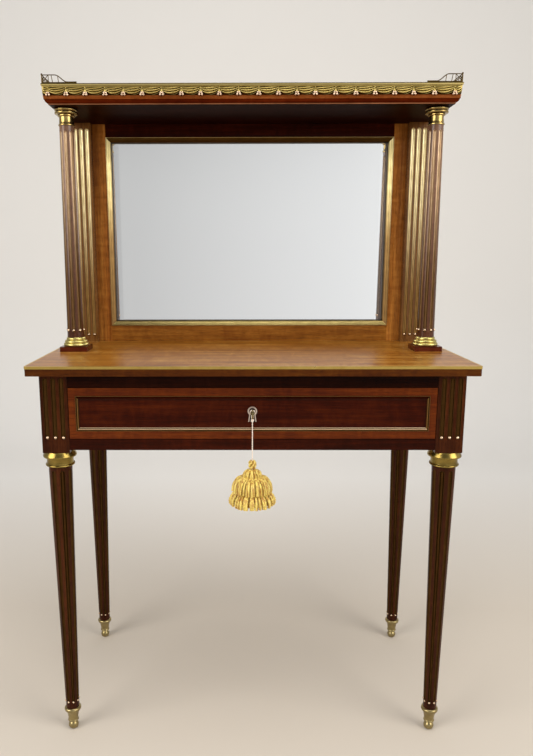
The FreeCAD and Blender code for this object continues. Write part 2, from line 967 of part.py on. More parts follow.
def pierced(length, outline, height_at):
    """A pierced strip in the XZ plane from x = 0: an outline less its openings."""
    count = round((length - gallery_bar) / gallery_pitch)
    pitch = (length - gallery_bar) / count
    holes = []
    for index in range(count):
        x0 = gallery_bar + index * pitch
        x1 = x0 + pitch - gallery_bar
        top0 = height_at(x0) - gallery_top_rail
        top1 = height_at(x1) - gallery_top_rail
        if min(top0, top1) > 2 * gallery_foot_rail:
            corners = [(x0, gallery_foot_rail), (x1, gallery_foot_rail), (x1, top1), (x0, top0)]
            ring = [point(x, 0, z) for x, z in corners]
            holes.append(Part.makePolygon(ring + ring[:1]))
    ring = [point(x, 0, z) for x, z in outline]
    wires = [Part.makePolygon(ring + ring[:1])] + holes
    face = Part.makeFace(wires, "Part::FaceMakerBullseye")
    return face.extrude(point(0, gallery_thickness, 0))


def level_strip(length):
    outline = [(0, 0), (length, 0), (length, gallery_height), (0, gallery_height)]
    return pierced(length, outline, lambda x: gallery_height)


def return_strip():
    """The front return: level at the corner, then an ogee ramp down to a low tail."""
    ramp_end = gallery_return_flat + gallery_return_ramp
    length = ramp_end + gallery_return_tail
    fall = gallery_height - gallery_tail_height

    def height_at(x):
        share = min(max((x - gallery_return_flat) / gallery_return_ramp, 0), 1)
        return gallery_height - fall * (1 - math.cos(math.pi * share)) / 2

    ramp = [
        gallery_return_flat + gallery_return_ramp * index / gallery_ramp_steps
        for index in range(gallery_ramp_steps + 1)
    ]
    outline = [(0, 0), (length, 0), (length, gallery_tail_height)]
    outline += [(x, height_at(x)) for x in reversed(ramp)]
    outline += [(0, gallery_height)]
    return pierced(length, outline, height_at)


def make_gallery():
    """Five pierced brass strips: two sides, the back and two ramped front returns."""
    edge = shelf_half_length + shelf_strip_proud - gallery_inset
    front = shelf_front_y - shelf_strip_proud + gallery_inset
    back = shelf_back_y - gallery_back_inset
    strip = gallery_thickness
    side = level_strip(back - strip - front)
    side.rotate(point(0, 0, 0), point(0, 0, 1), quarter_turn)
    right = side.translated(point(edge, front, shelf_top))
    back_strip = level_strip(2 * edge).translated(point(-edge, back - strip, shelf_top))
    left_return = return_strip().translated(point(-edge + strip, front, shelf_top))
    pieces = [right, mirrored(right), back_strip, left_return, mirrored(left_return)]
    save("shelf_gallery", group(pieces))


def drawer_tails():
    """The tails on the right-hand drawer side, at its front and at its back."""
    inner = drawer_half_x - drawer_side_thickness
    pitch = (drawer_side_top - opening_bottom) / dovetails
    tails = []
    for face_y, direction, reach in (
        (drawer_inner_y, -1, dovetail_length),
        (drawer_back_y - drawer_back_thickness, 1, drawer_back_thickness),
    ):
        for index in range(dovetails):
            middle = opening_bottom + (index + 0.5) * pitch
            neck = dovetail_neck / 2
            wide = neck + dovetail_flare
            end_y = face_y + direction * reach
            outline = [
                point(inner, face_y, middle - neck),
                point(inner, face_y, middle + neck),
                point(inner, end_y, middle + wide),
                point(inner, end_y, middle - wide),
            ]
            tails.append(
                polygon_face(outline).extrude(point(drawer_side_thickness, 0, 0))
            )
    return tails


def on_key_axis(radius, y0, y1):
    """A true round on the axis that the key turns about, from y0 to y1."""
    return Part.makeCylinder(radius, y1 - y0, point(0, y0, key_z), point(0, 1, 0))


def keyhole(y0, y1):
    """The round hole for the key's shank with the slot for its bit, from y0 to y1."""
    half = keyhole_slot / 2
    slot = box(-half, half, y0, y1, key_z - keyhole_reach, key_z)
    return joined([on_key_axis(keyhole_radius, y0, y1), slot])


def lock_body(grow):
    """The lock's back plate and the case on it, in the back of the drawer front."""
    wide = lock_plate_half_length + grow
    half = lock_half_length + grow
    plate_y = drawer_inner_y - lock_wall - grow
    plate = box(-wide, wide, plate_y, drawer_inner_y, lock_bottom - grow, lock_top)
    case_bottom = key_z - lock_case_drop - grow
    case = box(-half, half, lock_front_y - grow, drawer_inner_y, case_bottom, lock_top)
    return joined([plate, case])


def lock_screws():
    """Four countersunk screws through the corners of the lock's plate."""
    x = lock_plate_half_length - lock_screw_inset
    heights = (lock_bottom + lock_screw_inset, lock_top - lock_screw_inset)
    profile = [
        (0, 0),
        (lock_screw_head_radius, 0),
        (lock_screw_shank_radius, -lock_screw_head_height),
        (lock_screw_shank_radius, -lock_screw_length),
        (0, -lock_screw_length),
    ]
    screw = turned(profile, angles=even_angles(lock_screw_sides))
    screw.rotate(point(0, 0, 0), point(1, 0, 0), -quarter_turn)
    return [
        screw.translated(point(sign * x, drawer_inner_y, height))
        for sign in (-1, 1)
        for height in heights
    ]


def make_drawer():
    """A dovetailed drawer with a brass-framed front, its lock and keyhole plate."""
    front_y = rail_front_y
    inner_x = drawer_half_x - drawer_side_thickness
    tails = drawer_tails()
    right = joined(
        [
            box(
                inner_x,
                drawer_half_x,
                drawer_inner_y,
                drawer_back_y - drawer_back_thickness,
                opening_bottom,
                drawer_side_top,
            )
        ]
        + tails
    )
    left = mirrored(right)
    bottom_z = opening_bottom + drawer_bottom_rise
    bottom_top = bottom_z + drawer_bottom_thickness
    bottom = box(
        -inner_x - drawer_groove_depth,
        inner_x + drawer_groove_depth,
        drawer_inner_y - drawer_groove_depth,
        drawer_back_y,
        bottom_z,
        bottom_top,
    )
    back = box(
        -drawer_half_x,
        drawer_half_x,
        drawer_back_y - drawer_back_thickness,
        drawer_back_y,
        bottom_top,
        drawer_side_top,
    )
    moulding = drawer_moulding(front_y)
    front = box(
        -drawer_half_x,
        drawer_half_x,
        front_y,
        drawer_inner_y,
        drawer_front_bottom,
        drawer_front_top,
    )
    hole = keyhole(front_y, drawer_inner_y)
    screws = lock_screws()
    save("drawer_side_right", right.cut(bottom))
    save("drawer_side_left", left.cut(bottom))
    save("drawer_bottom", bottom)
    save("drawer_back", back.cut([right, left]))
    save(
        "drawer_front",
        front.cut([right, left, bottom, moulding, lock_body(lock_clearance), hole] + screws),
    )
    save("drawer_moulding", moulding)
    save("lock_screws", group(screws))
    make_lock(screws)
    make_escutcheon(front_y)


def drawer_moulding(front_y):
    """The stepped brass frame let into the drawer's face."""
    proud = front_y - drawer_moulding_proud
    inner_step = drawer_moulding_width - drawer_moulding_step
    profile = [
        (0, front_y - drawer_moulding_lip),
        (drawer_moulding_lip, proud),
        (drawer_moulding_step, proud),
        (drawer_moulding_step, front_y - drawer_moulding_lip),
        (inner_step + drawer_moulding_lip, front_y - drawer_moulding_lip),
        (drawer_moulding_width, front_y),
        (drawer_moulding_width, front_y + drawer_moulding_depth),
        (0, front_y + drawer_moulding_depth),
    ]
    return mitred_frame(
        drawer_half_x - drawer_moulding_margin_x,
        drawer_front_bottom + drawer_moulding_margin_z,
        drawer_front_top - drawer_moulding_margin_z,
        profile,
    )


def bolt_slot(grow, z0, z1):
    """The room that the bolt takes, grown on its four upright sides."""
    half = bolt_half_length + grow
    thick = bolt_thickness / 2 + grow
    return box(-half, half, lock_middle_y - thick, lock_middle_y + thick, z0, z1)


def make_lock(screws):
    """A box lock with its drill pin, and a bolt that rises into the rail above."""
    half = lock_half_length - lock_wall
    hollow = box(
        -half,
        half,
        lock_front_y + lock_wall,
        drawer_inner_y - lock_wall,
        key_z - lock_case_drop + lock_wall,
        lock_top - lock_wall,
    )
    pin_y = lock_front_y + lock_wall
    pin = on_key_axis(lock_pin_radius, pin_y, drawer_inner_y - lock_wall)
    hole = keyhole(lock_front_y, pin_y)
    mouth = bolt_slot(bolt_clearance, lock_top - lock_wall, lock_top)
    shell = lock_body(0).cut([hollow, hole, mouth] + screws)
    save("lock_case", joined([shell, pin]))
    bolt_top = lock_top - bolt_rest_gap
    save("lock_bolt", bolt_slot(0, bolt_top - bolt_height, bolt_top))


def bolt_mortise():
    """The hole in the rail above that the thrown bolt enters."""
    return bolt_slot(mortise_clearance, opening_top, opening_top + bolt_throw + mortise_clearance)


def make_escutcheon(front_y):
    """The keyhole plate: a round head over a flared skirt."""
    y = front_y - escutcheon_thickness
    away = point(0, 1, 0)
    head = disc(escutcheon_radius, point(0, y, key_z), away, escutcheon_thickness)
    waist = escutcheon_waist / 2
    skirt = escutcheon_skirt / 2
    foot = key_z - escutcheon_drop
    outline = [
        point(-waist, y, key_z),
        point(waist, y, key_z),
        point(skirt, y, foot),
        point(-skirt, y, foot),
    ]
    flare = polygon_face(outline).extrude(away * escutcheon_thickness)
    slot = escutcheon_slot / 2
    hole = [
        disc(escutcheon_hole_radius, point(0, y, key_z), away, escutcheon_thickness),
        box(-slot, slot, y, front_y, key_z - escutcheon_slot_drop, key_z),
    ]
    save("key_escutcheon", joined([head, flare]).cut(hole))


def make_key():
    """A barrel key in the lock: its bow stands upright in front of the drawer."""
    bow_back = rail_front_y - key_out
    tip = drawer_inner_y - lock_wall - lock_clearance
    barrel = on_key_axis(lock_pin_radius + key_barrel_fit, tip - key_barrel_depth, tip)
    shank = on_key_axis(key_shank_radius, bow_back, tip)
    collar = on_key_axis(key_collar_radius, bow_back, bow_back + key_collar_length)
    bit_back = tip - key_bit_clearance
    bit = box(
        -key_bit_thickness / 2,
        key_bit_thickness / 2,
        bit_back - key_bit_length,
        bit_back,
        key_z - key_bit_reach,
        key_z - lock_pin_radius - key_barrel_fit - key_bit_root,
    )
    ring_width = key_bow_radius - key_bow_hole_radius
    bow_middle = bow_back - key_bow_radius + ring_width / 2
    half = key_bow_thickness / 2
    start = point(-half, bow_middle, key_z)
    side = point(1, 0, 0)
    bow = disc(key_bow_radius, start, side, key_bow_thickness)
    bow = bow.cut(disc(key_bow_hole_radius, start, side, key_bow_thickness))
    save("key", joined([shank, collar, bit, bow]).cut(barrel))


def tier(shares, radius, top, height):
    """The outline of one tier of the tassel, from shares of its radius and height."""
    return [(radius * out, top - height * down) for out, down in shares]


def make_tassel():
    """A cord looped round the key's shank, and the tassel that hangs from it."""
    reach = round_it(key_shank_radius + cord_loop_fit, cord_loop_sides)
    loop_radius = reach + cord_radius
    profile = []
    for angle in even_angles(cord_sides):
        profile.append((loop_radius + cord_radius * math.cos(angle), cord_radius * math.sin(angle)))
    loop = turned(profile, angles=even_angles(cord_loop_sides))
    loop.rotate(point(0, 0, 0), point(1, 0, 0), quarter_turn)
    loop = loop.translated(point(0, cord_y, key_z))
    foot = key_z - cord_drop
    drop_top = key_z - loop_radius
    strand = [(0, foot), (cord_radius, foot), (cord_radius, drop_top), (0, drop_top)]
    drop = turned(strand, 0, cord_y, even_angles(cord_sides))
    save("key_cord", joined([loop, drop]))

    knot_foot = foot - tassel_knot_height
    knot_round = tassel_knot_radius / 2
    neck_foot = knot_foot - tassel_neck_height
    ruff_foot = neck_foot - tassel_ruff_height
    profile = [(0, foot)]
    profile += reversed(rounded_band(tassel_knot_radius, knot_foot, foot, knot_round))
    profile += [(tassel_neck_radius, knot_foot), (tassel_neck_radius, neck_foot)]
    profile += tier(tassel_ruff_shares, tassel_ruff_radius, neck_foot, tassel_ruff_height)
    profile += [(tassel_ruff_radius, ruff_foot), (0, ruff_foot)]
    save("tassel_head", turned(profile, 0, cord_y))

    upper_foot = ruff_foot - tassel_upper_height
    lower_foot = upper_foot - tassel_lower_height
    profile = [(0, ruff_foot)]
    profile += tier(tassel_upper_shares, tassel_upper_radius, ruff_foot, tassel_upper_height)
    profile += [(tassel_upper_radius, upper_foot), (tassel_waist_radius, upper_foot)]
    profile += tier(tassel_lower_shares, tassel_lower_radius, upper_foot, tassel_lower_height)
    profile += [(tassel_lower_radius, lower_foot), (0, lower_foot)]
    save("tassel_skirt", turned(profile, 0, cord_y))


def make_drawer_supports():
    """Runners with guides under the drawer, kickers over it, and two stops."""
    blocks = [
        box(block_inner_x, frieze_half_x, y0, y1, block_bottom, top_under)
        for y0, y1 in ((-frieze_half_y, -block_inner_y), (block_inner_y, frieze_half_y))
    ]
    runner_x = block_inner_x - runner_overlap
    guide_x = drawer_half_x + guide_gap
    rest = box(
        runner_x, apron_inner_x, rail_back_y, apron_inner_y, opening_bottom - runner_height,
        opening_bottom,
    )
    guide = box(
        guide_x, apron_inner_x, -block_inner_y, block_inner_y, opening_bottom,
        opening_bottom + guide_height,
    )
    runner = joined([rest, guide]).cut(blocks)
    save("drawer_runners", group([runner, mirrored(runner)]))
    kicker = box(
        block_inner_x - kicker_overlap, apron_inner_x, rail_back_y, apron_inner_y, opening_top,
        top_under,
    ).cut(blocks)
    save("drawer_kickers", group([kicker, mirrored(kicker)]))
    stop = box(
        stop_x - stop_length / 2, stop_x + stop_length / 2, drawer_inner_y,
        drawer_inner_y + stop_depth, opening_bottom, opening_bottom + stop_height,
    )
    save("drawer_stops", group([stop, mirrored(stop)]))


joint_tenons = rail_tenons()
make_top()
make_frieze(joint_tenons, bolt_mortise())
make_legs(joint_tenons)
make_columns()
make_pilasters()
make_mirror()
make_shelf()
make_gallery()
make_drawer_supports()
make_drawer()
make_key()
make_tassel()
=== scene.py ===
"""A dressing table of mahogany with gilt brass mounts, dressed for the camera.

After the studio, the sections follow the table as it is put together. All lengths are in
metres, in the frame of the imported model: +Z up, the front faces -Y.
"""

import math

import bmesh
import bpy
from mathutils import Matrix, Vector


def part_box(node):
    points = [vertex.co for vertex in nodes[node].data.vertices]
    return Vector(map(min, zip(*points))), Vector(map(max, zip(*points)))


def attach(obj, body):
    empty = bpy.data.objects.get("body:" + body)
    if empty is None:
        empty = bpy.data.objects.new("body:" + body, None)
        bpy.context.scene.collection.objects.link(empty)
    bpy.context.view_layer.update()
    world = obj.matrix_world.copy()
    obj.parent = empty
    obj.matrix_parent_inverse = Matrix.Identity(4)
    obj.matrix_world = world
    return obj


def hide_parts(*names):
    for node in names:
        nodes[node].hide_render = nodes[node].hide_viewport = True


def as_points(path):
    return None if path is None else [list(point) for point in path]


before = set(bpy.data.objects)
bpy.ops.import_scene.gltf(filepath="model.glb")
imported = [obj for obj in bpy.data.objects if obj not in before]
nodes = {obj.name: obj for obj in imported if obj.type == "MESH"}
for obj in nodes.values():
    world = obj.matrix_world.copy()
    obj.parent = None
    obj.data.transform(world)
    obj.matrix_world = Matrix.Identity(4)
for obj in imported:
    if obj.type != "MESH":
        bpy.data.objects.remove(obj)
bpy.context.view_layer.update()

# The studio: a pale floor that curves up into a pale wall, two soft lamps in front and one
# above, and a camera at the photograph's place, at chest height and tipped down a little.

scene = bpy.context.scene
scene.view_settings.view_transform = "Standard"


def linear(hex_colour):
    """An sRGB colour written as RRGGBB, as the linear colour that a socket takes."""
    channels = [int(hex_colour[i : i + 2], 16) / 255 for i in (0, 2, 4)]
    turned = [c / 12.92 if c <= 0.04045 else ((c + 0.055) / 1.055) ** 2.4 for c in channels]
    return (*turned, 1.0)


def add_node(tree, kind, inputs=None, **settings):
    """Adds a node. inputs gives each socket, by its number or by its name among those in
    use, a value, or a socket or node that feeds it. A node feeds by its first output."""
    new = tree.nodes.new(kind)
    for key, value in settings.items():
        setattr(new, key, value)
    for label, value in (inputs or {}).items():
        if isinstance(label, int):
            socket = new.inputs[label]
        else:
            socket = next(s for s in new.inputs if s.enabled and s.name == label)
        if isinstance(value, bpy.types.Node):
            value = next(s for s in value.outputs if s.enabled)
        if isinstance(value, bpy.types.NodeSocket):
            tree.links.new(value, socket)
        else:
            socket.default_value = value
    return new


def new_material(name):
    """A material, its node tree, and the socket that gives the place on the piece."""
    material = bpy.data.materials.new(name)
    material.use_nodes = True
    tree = material.node_tree
    tree.nodes.clear()
    return material, tree, add_node(tree, "ShaderNodeTexCoord").outputs["Object"]


camera_place = Vector((-0.0284, -1.3821, 0.9416))
pitch, yaw, roll = (math.radians(degrees) for degrees in (10.674, -0.325, -0.09))
forward = Vector(
    (math.sin(yaw) * math.cos(pitch), math.cos(yaw) * math.cos(pitch), -math.sin(pitch))
)
level = Vector((math.cos(yaw), -math.sin(yaw), 0))
upward = level.cross(forward)
right = level * math.cos(roll) + upward * math.sin(roll)
up = upward * math.cos(roll) - level * math.sin(roll)
lens = bpy.data.cameras.new("camera")
lens.lens = 32.05
lens.shift_x, lens.shift_y = 0.0444, 0.0061
camera = bpy.data.objects.new("camera", lens)
facing = Matrix((right, up, -forward)).transposed()
camera.matrix_world = Matrix.Translation(camera_place) @ facing.to_4x4()
scene.collection.objects.link(camera)
scene.camera = camera

lamp_target = Vector((0, 0, 0.85))
for lamp_name, lamp_place, lamp_size, lamp_power, lamp_tint in (
    ("lamp_left", (-2.2, -1.7, 1.75), 2.0, 52, "FFFBF5"),
    ("lamp_right", (2.2, -1.6, 1.85), 2.0, 46, "FFFAF2"),
    ("lamp_above", (0.2, -0.6, 3.2), 1.8, 30, "FFFCF8"),
):
    lamp = bpy.data.lights.new(lamp_name, "AREA")
    lamp.shape = "DISK"
    lamp.size = lamp_size
    lamp.energy = lamp_power
    lamp.color = linear(lamp_tint)[:3]
    holder = bpy.data.objects.new(lamp_name, lamp)
    holder.location = lamp_place
    aim = lamp_target - Vector(lamp_place)
    holder.rotation_euler = aim.to_track_quat("-Z", "Y").to_euler()
    scene.collection.objects.link(holder)

# The room is near white where the camera or a gloss sees it, greyer to the left and darker
# overhead, so that the mirror and the brass have something to show.
room_strength = 0.46
world = bpy.data.worlds.new("room")
world.use_nodes = True
sky = world.node_tree
sky.nodes.clear()
direction = add_node(
    sky, "ShaderNodeSeparateXYZ", {0: add_node(sky, "ShaderNodeTexCoord").outputs["Generated"]}
).outputs
seen = 1.0
for axis, near, far, near_light, far_light in (
    ("X", -0.25, 0.25, 0.52, 1.0), ("Z", 0.22, 0.6, 1.0, 0.3),
):
    change = add_node(
        sky, "ShaderNodeMapRange",
        {"Value": direction[axis], "From Min": near, "From Max": far, "To Min": near_light,
         "To Max": far_light},
    )
    seen = add_node(sky, "ShaderNodeMath", {0: change, 1: seen}, operation="MULTIPLY")
ray = add_node(sky, "ShaderNodeLightPath").outputs
is_seen = ray["Is Camera Ray"]
for kind in ("Is Glossy Ray", "Is Transmission Ray"):
    is_seen = add_node(sky, "ShaderNodeMath", {0: is_seen, 1: ray[kind]}, operation="MAXIMUM")
room_light = add_node(
    sky, "ShaderNodeMix", {"Factor": is_seen, "A": room_strength, "B": seen},
    data_type="FLOAT",
)
room = add_node(
    sky, "ShaderNodeBackground", {"Color": linear("F8F8F8"), "Strength": room_light}
)
add_node(sky, "ShaderNodeOutputWorld", {"Surface": room})
scene.world = world


def new_piece(name, vertices, faces, finish=None):
    """A mesh object in the scene, with its finish where that is given."""
    mesh = bpy.data.meshes.new(name)
    mesh.from_pydata([tuple(v) for v in vertices], [], faces)
    mesh.validate()
    if finish:
        mesh.materials.append(finish)
    piece = bpy.data.objects.new(name, mesh)
    scene.collection.objects.link(piece)
    return piece


# Matt emulsion paint: hardly any gloss, a little darker and warmer on the floor.
paint, tree, place = new_material("pale_matt_paint")
depth = add_node(tree, "ShaderNodeSeparateXYZ", {0: place}).outputs["Y"]
towards_wall = add_node(
    tree, "ShaderNodeMapRange", {"Value": depth, "From Min": 0.3, "From Max": 1.4}
)
paint_colour = add_node(
    tree, "ShaderNodeMix", {"Factor": towards_wall, "A": linear("CFC6BA"), "B": linear("E9E7E4")},
    data_type="RGBA",
)
paint_shader = add_node(
    tree, "ShaderNodeBsdfPrincipled",
    {"Base Color": paint_colour, "Roughness": 0.9, "Specular IOR Level": 0.2},
)
add_node(tree, "ShaderNodeOutputMaterial", {"Surface": paint_shader})

floor_half_width, floor_front_y = 6.0, -6.0
wall_y, wall_height, wall_curve = 2.4, 5.0, 0.7
curve_steps = 12
sweep = [(floor_front_y, 0.0), (wall_y - wall_curve, 0.0)]
for step in range(1, curve_steps + 1):
    angle = math.pi / 2 * step / curve_steps
    sweep.append(
        (wall_y - wall_curve + wall_curve * math.sin(angle), wall_curve * (1 - math.cos(angle)))
    )
sweep.append((wall_y, wall_height))
floor_points = [(x, y, z) for y, z in sweep for x in (-floor_half_width, floor_half_width)]
floor_faces = [(2 * i, 2 * i + 1, 2 * i + 3, 2 * i + 2) for i in range(len(sweep) - 1)]
floor = new_piece("floor", floor_points, floor_faces, paint)
for polygon in floor.data.polygons:
    polygon.use_smooth = True

# The legs: four of Cuban mahogany, each a square block with a turned, tapered shaft. Rolled
# brass channels line the round-ended flutes and end in a ball tip. A cast collar is fitted
# under each block, and each shaft stands in a cast shoe.


def grained_wood(name, along, tones, roughness=0.2, gloss=0.18, layers=()):
    """Wood with its figure, ribbon, cross mottle and pores drawn out along the grain.

    tones are the dark, middle and light colours of the figure. Each of layers is a mask and
    the tones that the wood has under it. Real pores are a quarter of a millimetre wide; at
    that width they would vanish, so they are drawn at 0.9 mm.
    """
    material, tree, place = new_material(name)
    patterns = []
    for width, length, detail, distortion in (
        (0.022, 0.30, 5.0, 0.6), (0.0042, 0.14, 3.0, 0.0), (0.05, 0.018, 2.0, 1.2),
        (0.0009, 0.016, 2.0, 0.0),
    ):
        sizes = [1 / width] * 3
        sizes["XYZ".index(along)] = 1 / length
        drawn_out = add_node(tree, "ShaderNodeMapping", {"Vector": place, "Scale": sizes})
        patterns.append(
            add_node(
                tree, "ShaderNodeTexNoise",
                {"Vector": drawn_out, "Scale": 1.0, "Detail": detail, "Distortion": distortion},
            )
        )
    figure, ribbon, mottle, pores = patterns
    for share, other in ((0.4, ribbon), (0.22, mottle)):
        figure = add_node(
            tree, "ShaderNodeMix", {"Factor": share, "A": figure, "B": other}, data_type="FLOAT"
        )
    for mask, (dark, middle, light) in ((None, tones), *layers):
        ramp = add_node(tree, "ShaderNodeValToRGB", {"Fac": figure})
        stops = ramp.color_ramp.elements
        stops[0].position, stops[0].color = 0.34, linear(dark)
        stops[1].position, stops[1].color = 0.66, linear(light)
        stops.new(0.5).color = linear(middle)
        wood = ramp if mask is None else add_node(
            tree, "ShaderNodeMix", {"Factor": mask(tree, place), "A": wood, "B": ramp},
            data_type="RGBA",
        )
    pore_shade = add_node(tree, "ShaderNodeValToRGB", {"Fac": pores})
    stops = pore_shade.color_ramp.elements
    stops[0].position, stops[0].color = 0.30, (0.55, 0.55, 0.55, 1)
    stops[1].position, stops[1].color = 0.48, (1, 1, 1, 1)
    wood = add_node(
        tree, "ShaderNodeMix", {"Factor": 1.0, "A": wood, "B": pore_shade},
        data_type="RGBA", blend_type="MULTIPLY",
    )
    bump = add_node(
        tree, "ShaderNodeBump", {"Height": pores, "Strength": 0.08, "Distance": 0.0003}
    )
    shader = add_node(
        tree, "ShaderNodeBsdfPrincipled",
        {"Base Color": wood, "Roughness": roughness, "IOR": 1.5, "Specular IOR Level": gloss,
         "Normal": bump},
    )
    add_node(tree, "ShaderNodeOutputMaterial", {"Surface": shader})
    return material


def aged_brass(name, colours, roughness, layers=()):
    """Brass, bright where it is handled, with a brown bloom in slow patches.

    colours are the bright and the bloomed one. Each of layers is a mask and the colours
    that the brass has under it.
    """
    material, tree, place = new_material(name)
    speck = 0.006
    scaled = add_node(tree, "ShaderNodeMapping", {"Vector": place, "Scale": (1 / speck,) * 3})
    bloom, fine = (
        add_node(
            tree, "ShaderNodeTexNoise", {"Vector": scaled, "Scale": scale, "Detail": detail}
        )
        for scale, detail in ((0.35, 4.0), (3.0, 3.0))
    )
    for mask, (bright, bloomed) in ((None, colours), *layers):
        metal = add_node(
            tree, "ShaderNodeMix", {"Factor": bloom, "A": linear(bright), "B": linear(bloomed)},
            data_type="RGBA",
        )
        brass = metal if mask is None else add_node(
            tree, "ShaderNodeMix", {"Factor": mask(tree, place), "A": brass, "B": metal},
            data_type="RGBA",
        )
    rough = add_node(
        tree, "ShaderNodeMapRange",
        {"Value": bloom, "To Min": roughness * 0.75, "To Max": roughness * 1.35},
    )
    bump = add_node(
        tree, "ShaderNodeBump", {"Height": fine, "Strength": 0.03, "Distance": 0.0002}
    )
    shader = add_node(
        tree, "ShaderNodeBsdfPrincipled",
        {"Base Color": brass, "Metallic": 1.0, "Roughness": rough, "Normal": bump},
    )
    add_node(tree, "ShaderNodeOutputMaterial", {"Surface": shader})
    return material


# French-polished mahogany: a dark ribbon up the leg, under a thin gloss.
leg_wood = grained_wood("polished_mahogany_leg", "Z", ("260C02", "3A1806", "50260D"), gloss=0.1)
# Rolled brass gone brown: the linings show as a dull sheen in the dark wood, not as gold.
dark_channel = aged_brass("patinated_brass_channel", ("5C4020", "3E2A10"), 0.42)
# Turned brass, painted near white as a highlight: a bright speck at the foot of each flute.
tip_brass = aged_brass("brass_tip_painted_highlight", ("F2DCC0", "D6B48E"), 0.22)
# Turned brass under a brown bloom: narrow bright rings on a dull gold.
collar_brass = aged_brass("aged_turned_brass", ("A8924E", "6E5A2A"), 0.24)
# Cast brass, worn pale by feet and brooms: soft, greyish highlights.
shoe_brass = aged_brass("worn_cast_brass", ("BBAA7C", "77673F"), 0.3)

leg_x, leg_y = 0.360, 0.167
block_half = 0.025
block_foot, block_head = 0.5855, 0.732
block_flute_pitch, block_flute_half, block_flute_depth = 0.0147, 0.0043, 0.0036
block_flute_foot, block_flute_head = 0.611, 0.7255
shaft_flute_foot, shaft_flute_head = 0.061, 0.5495
leg_top_radius, leg_toe_radius = 0.0218, 0.0129
shoe_top, collar_foot = 0.049, 0.557
leg_flutes = 8
flute_share = 0.56
channel_rim_share = 0.14
corner_chamfer = 0.0007
end_steps = 6
corner_signs = (
    ("front_left", -1, -1), ("front_right", 1, -1), ("rear_left", -1, 1), ("rear_right", 1, 1),
)


def merged(parts):
    """Several (vertices, faces) pairs as one."""
    vertices, faces = [], []
    for some_vertices, some_faces in parts:
        base = len(vertices)
        vertices += some_vertices
        faces += [tuple(base + index for index in face) for face in some_faces]
    return vertices, faces


def moved(shape, x, y):
    """A (vertices, faces) pair at another place on the plan."""
    vertices, faces = shape
    return [v + Vector((x, y, 0)) for v in vertices], faces


def flute_rows(foot, low_tip, high_tip, head, half_at):
    """Heights with the share of the full width that a round-ended flute has there."""
    turns = [math.pi / 2 * k / end_steps for k in range(end_steps + 1)]
    low = [(low_tip + half_at(low_tip) * (1 - math.cos(a)), math.sin(a)) for a in turns]
    high = [(high_tip - half_at(high_tip) * (1 - math.cos(a)), math.sin(a)) for a in turns]
    return [(foot, 0.0), *low, *reversed(high), (head, 0.0)]


def strip(columns, place):
    """Faces between columns of (across, height, depth) points, each set by place."""
    tall = len(columns[0])
    starts = [i * tall + j for i in range(len(columns) - 1) for j in range(tall - 1)]
    faces = [(a, a + tall, a + tall + 1, a + 1) for a in starts]
    return [place(*spot) for column in columns for spot in column], faces


def fluted_field(rows, centres, half, left, right, depth, place, land_steps=3):
    """The wood between flutes, and the brass channel in each, on one face."""
    wood, brass = [], []
    edges = [(left, 0)] + [(c, 1) for c in centres] + [(right, 0)]
    for (before, leaves), (after, meets) in zip(edges, edges[1:]):
        columns = []
        for k in range(land_steps + 1):
            column = []
            for height, share in rows:
                start = before + leaves * half * share
                stop = after - meets * half * share
                column.append((start + (stop - start) * k / land_steps, height, 0.0))
            columns.append(column)
        wood.append(strip(columns, place))
    inner = 1 - channel_rim_share
    bottom = [inner * math.sin(math.pi / 2 * k / 5) for k in range(-4, 5)]
    for centre in centres:
        columns = []
        for s in (-1.0, -inner, *bottom, inner, 1.0):
            hollow = math.sqrt(max(0.0, 1 - (s / inner) ** 2)) if abs(s) < inner else 0.0
            columns.append(
                [
                    (centre + half * share * s, height, depth(height) * share * hollow)
                    for height, share in rows[1:-1]
                ]
            )
        brass.append(strip(columns, place))
    return merged(wood), merged(brass)


def sew(piece, distance=1e-6):
    """Joins points that lie together."""
    mesh = bmesh.new()
    mesh.from_mesh(piece.data)
    bmesh.ops.remove_doubles(mesh, verts=mesh.verts, dist=distance)
    mesh.to_mesh(piece.data)
    mesh.free()
    return piece


def finish_piece(piece, body, sharp_degrees=40.0):
    """Smooth shading up to an angle, then the body that the piece has."""
    for polygon in piece.data.polygons:
        polygon.use_smooth = True
    piece.data.set_sharp_from_angle(angle=math.radians(sharp_degrees))
    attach(piece, body)
    return piece


def pattern_tree(name, labels):
    """A Geometry Nodes tree with named inputs, and the sockets that give them."""
    tree = bpy.data.node_groups.new(name, "GeometryNodeTree")
    for label, kind in (("Geometry", "Geometry"), *labels, ("Finish", "Material")):
        tree.interface.new_socket(label, in_out="INPUT", socket_type="NodeSocket" + kind)
    tree.interface.new_socket("Geometry", in_out="OUTPUT", socket_type="NodeSocketGeometry")
    return tree, add_node(tree, "NodeGroupInput").outputs


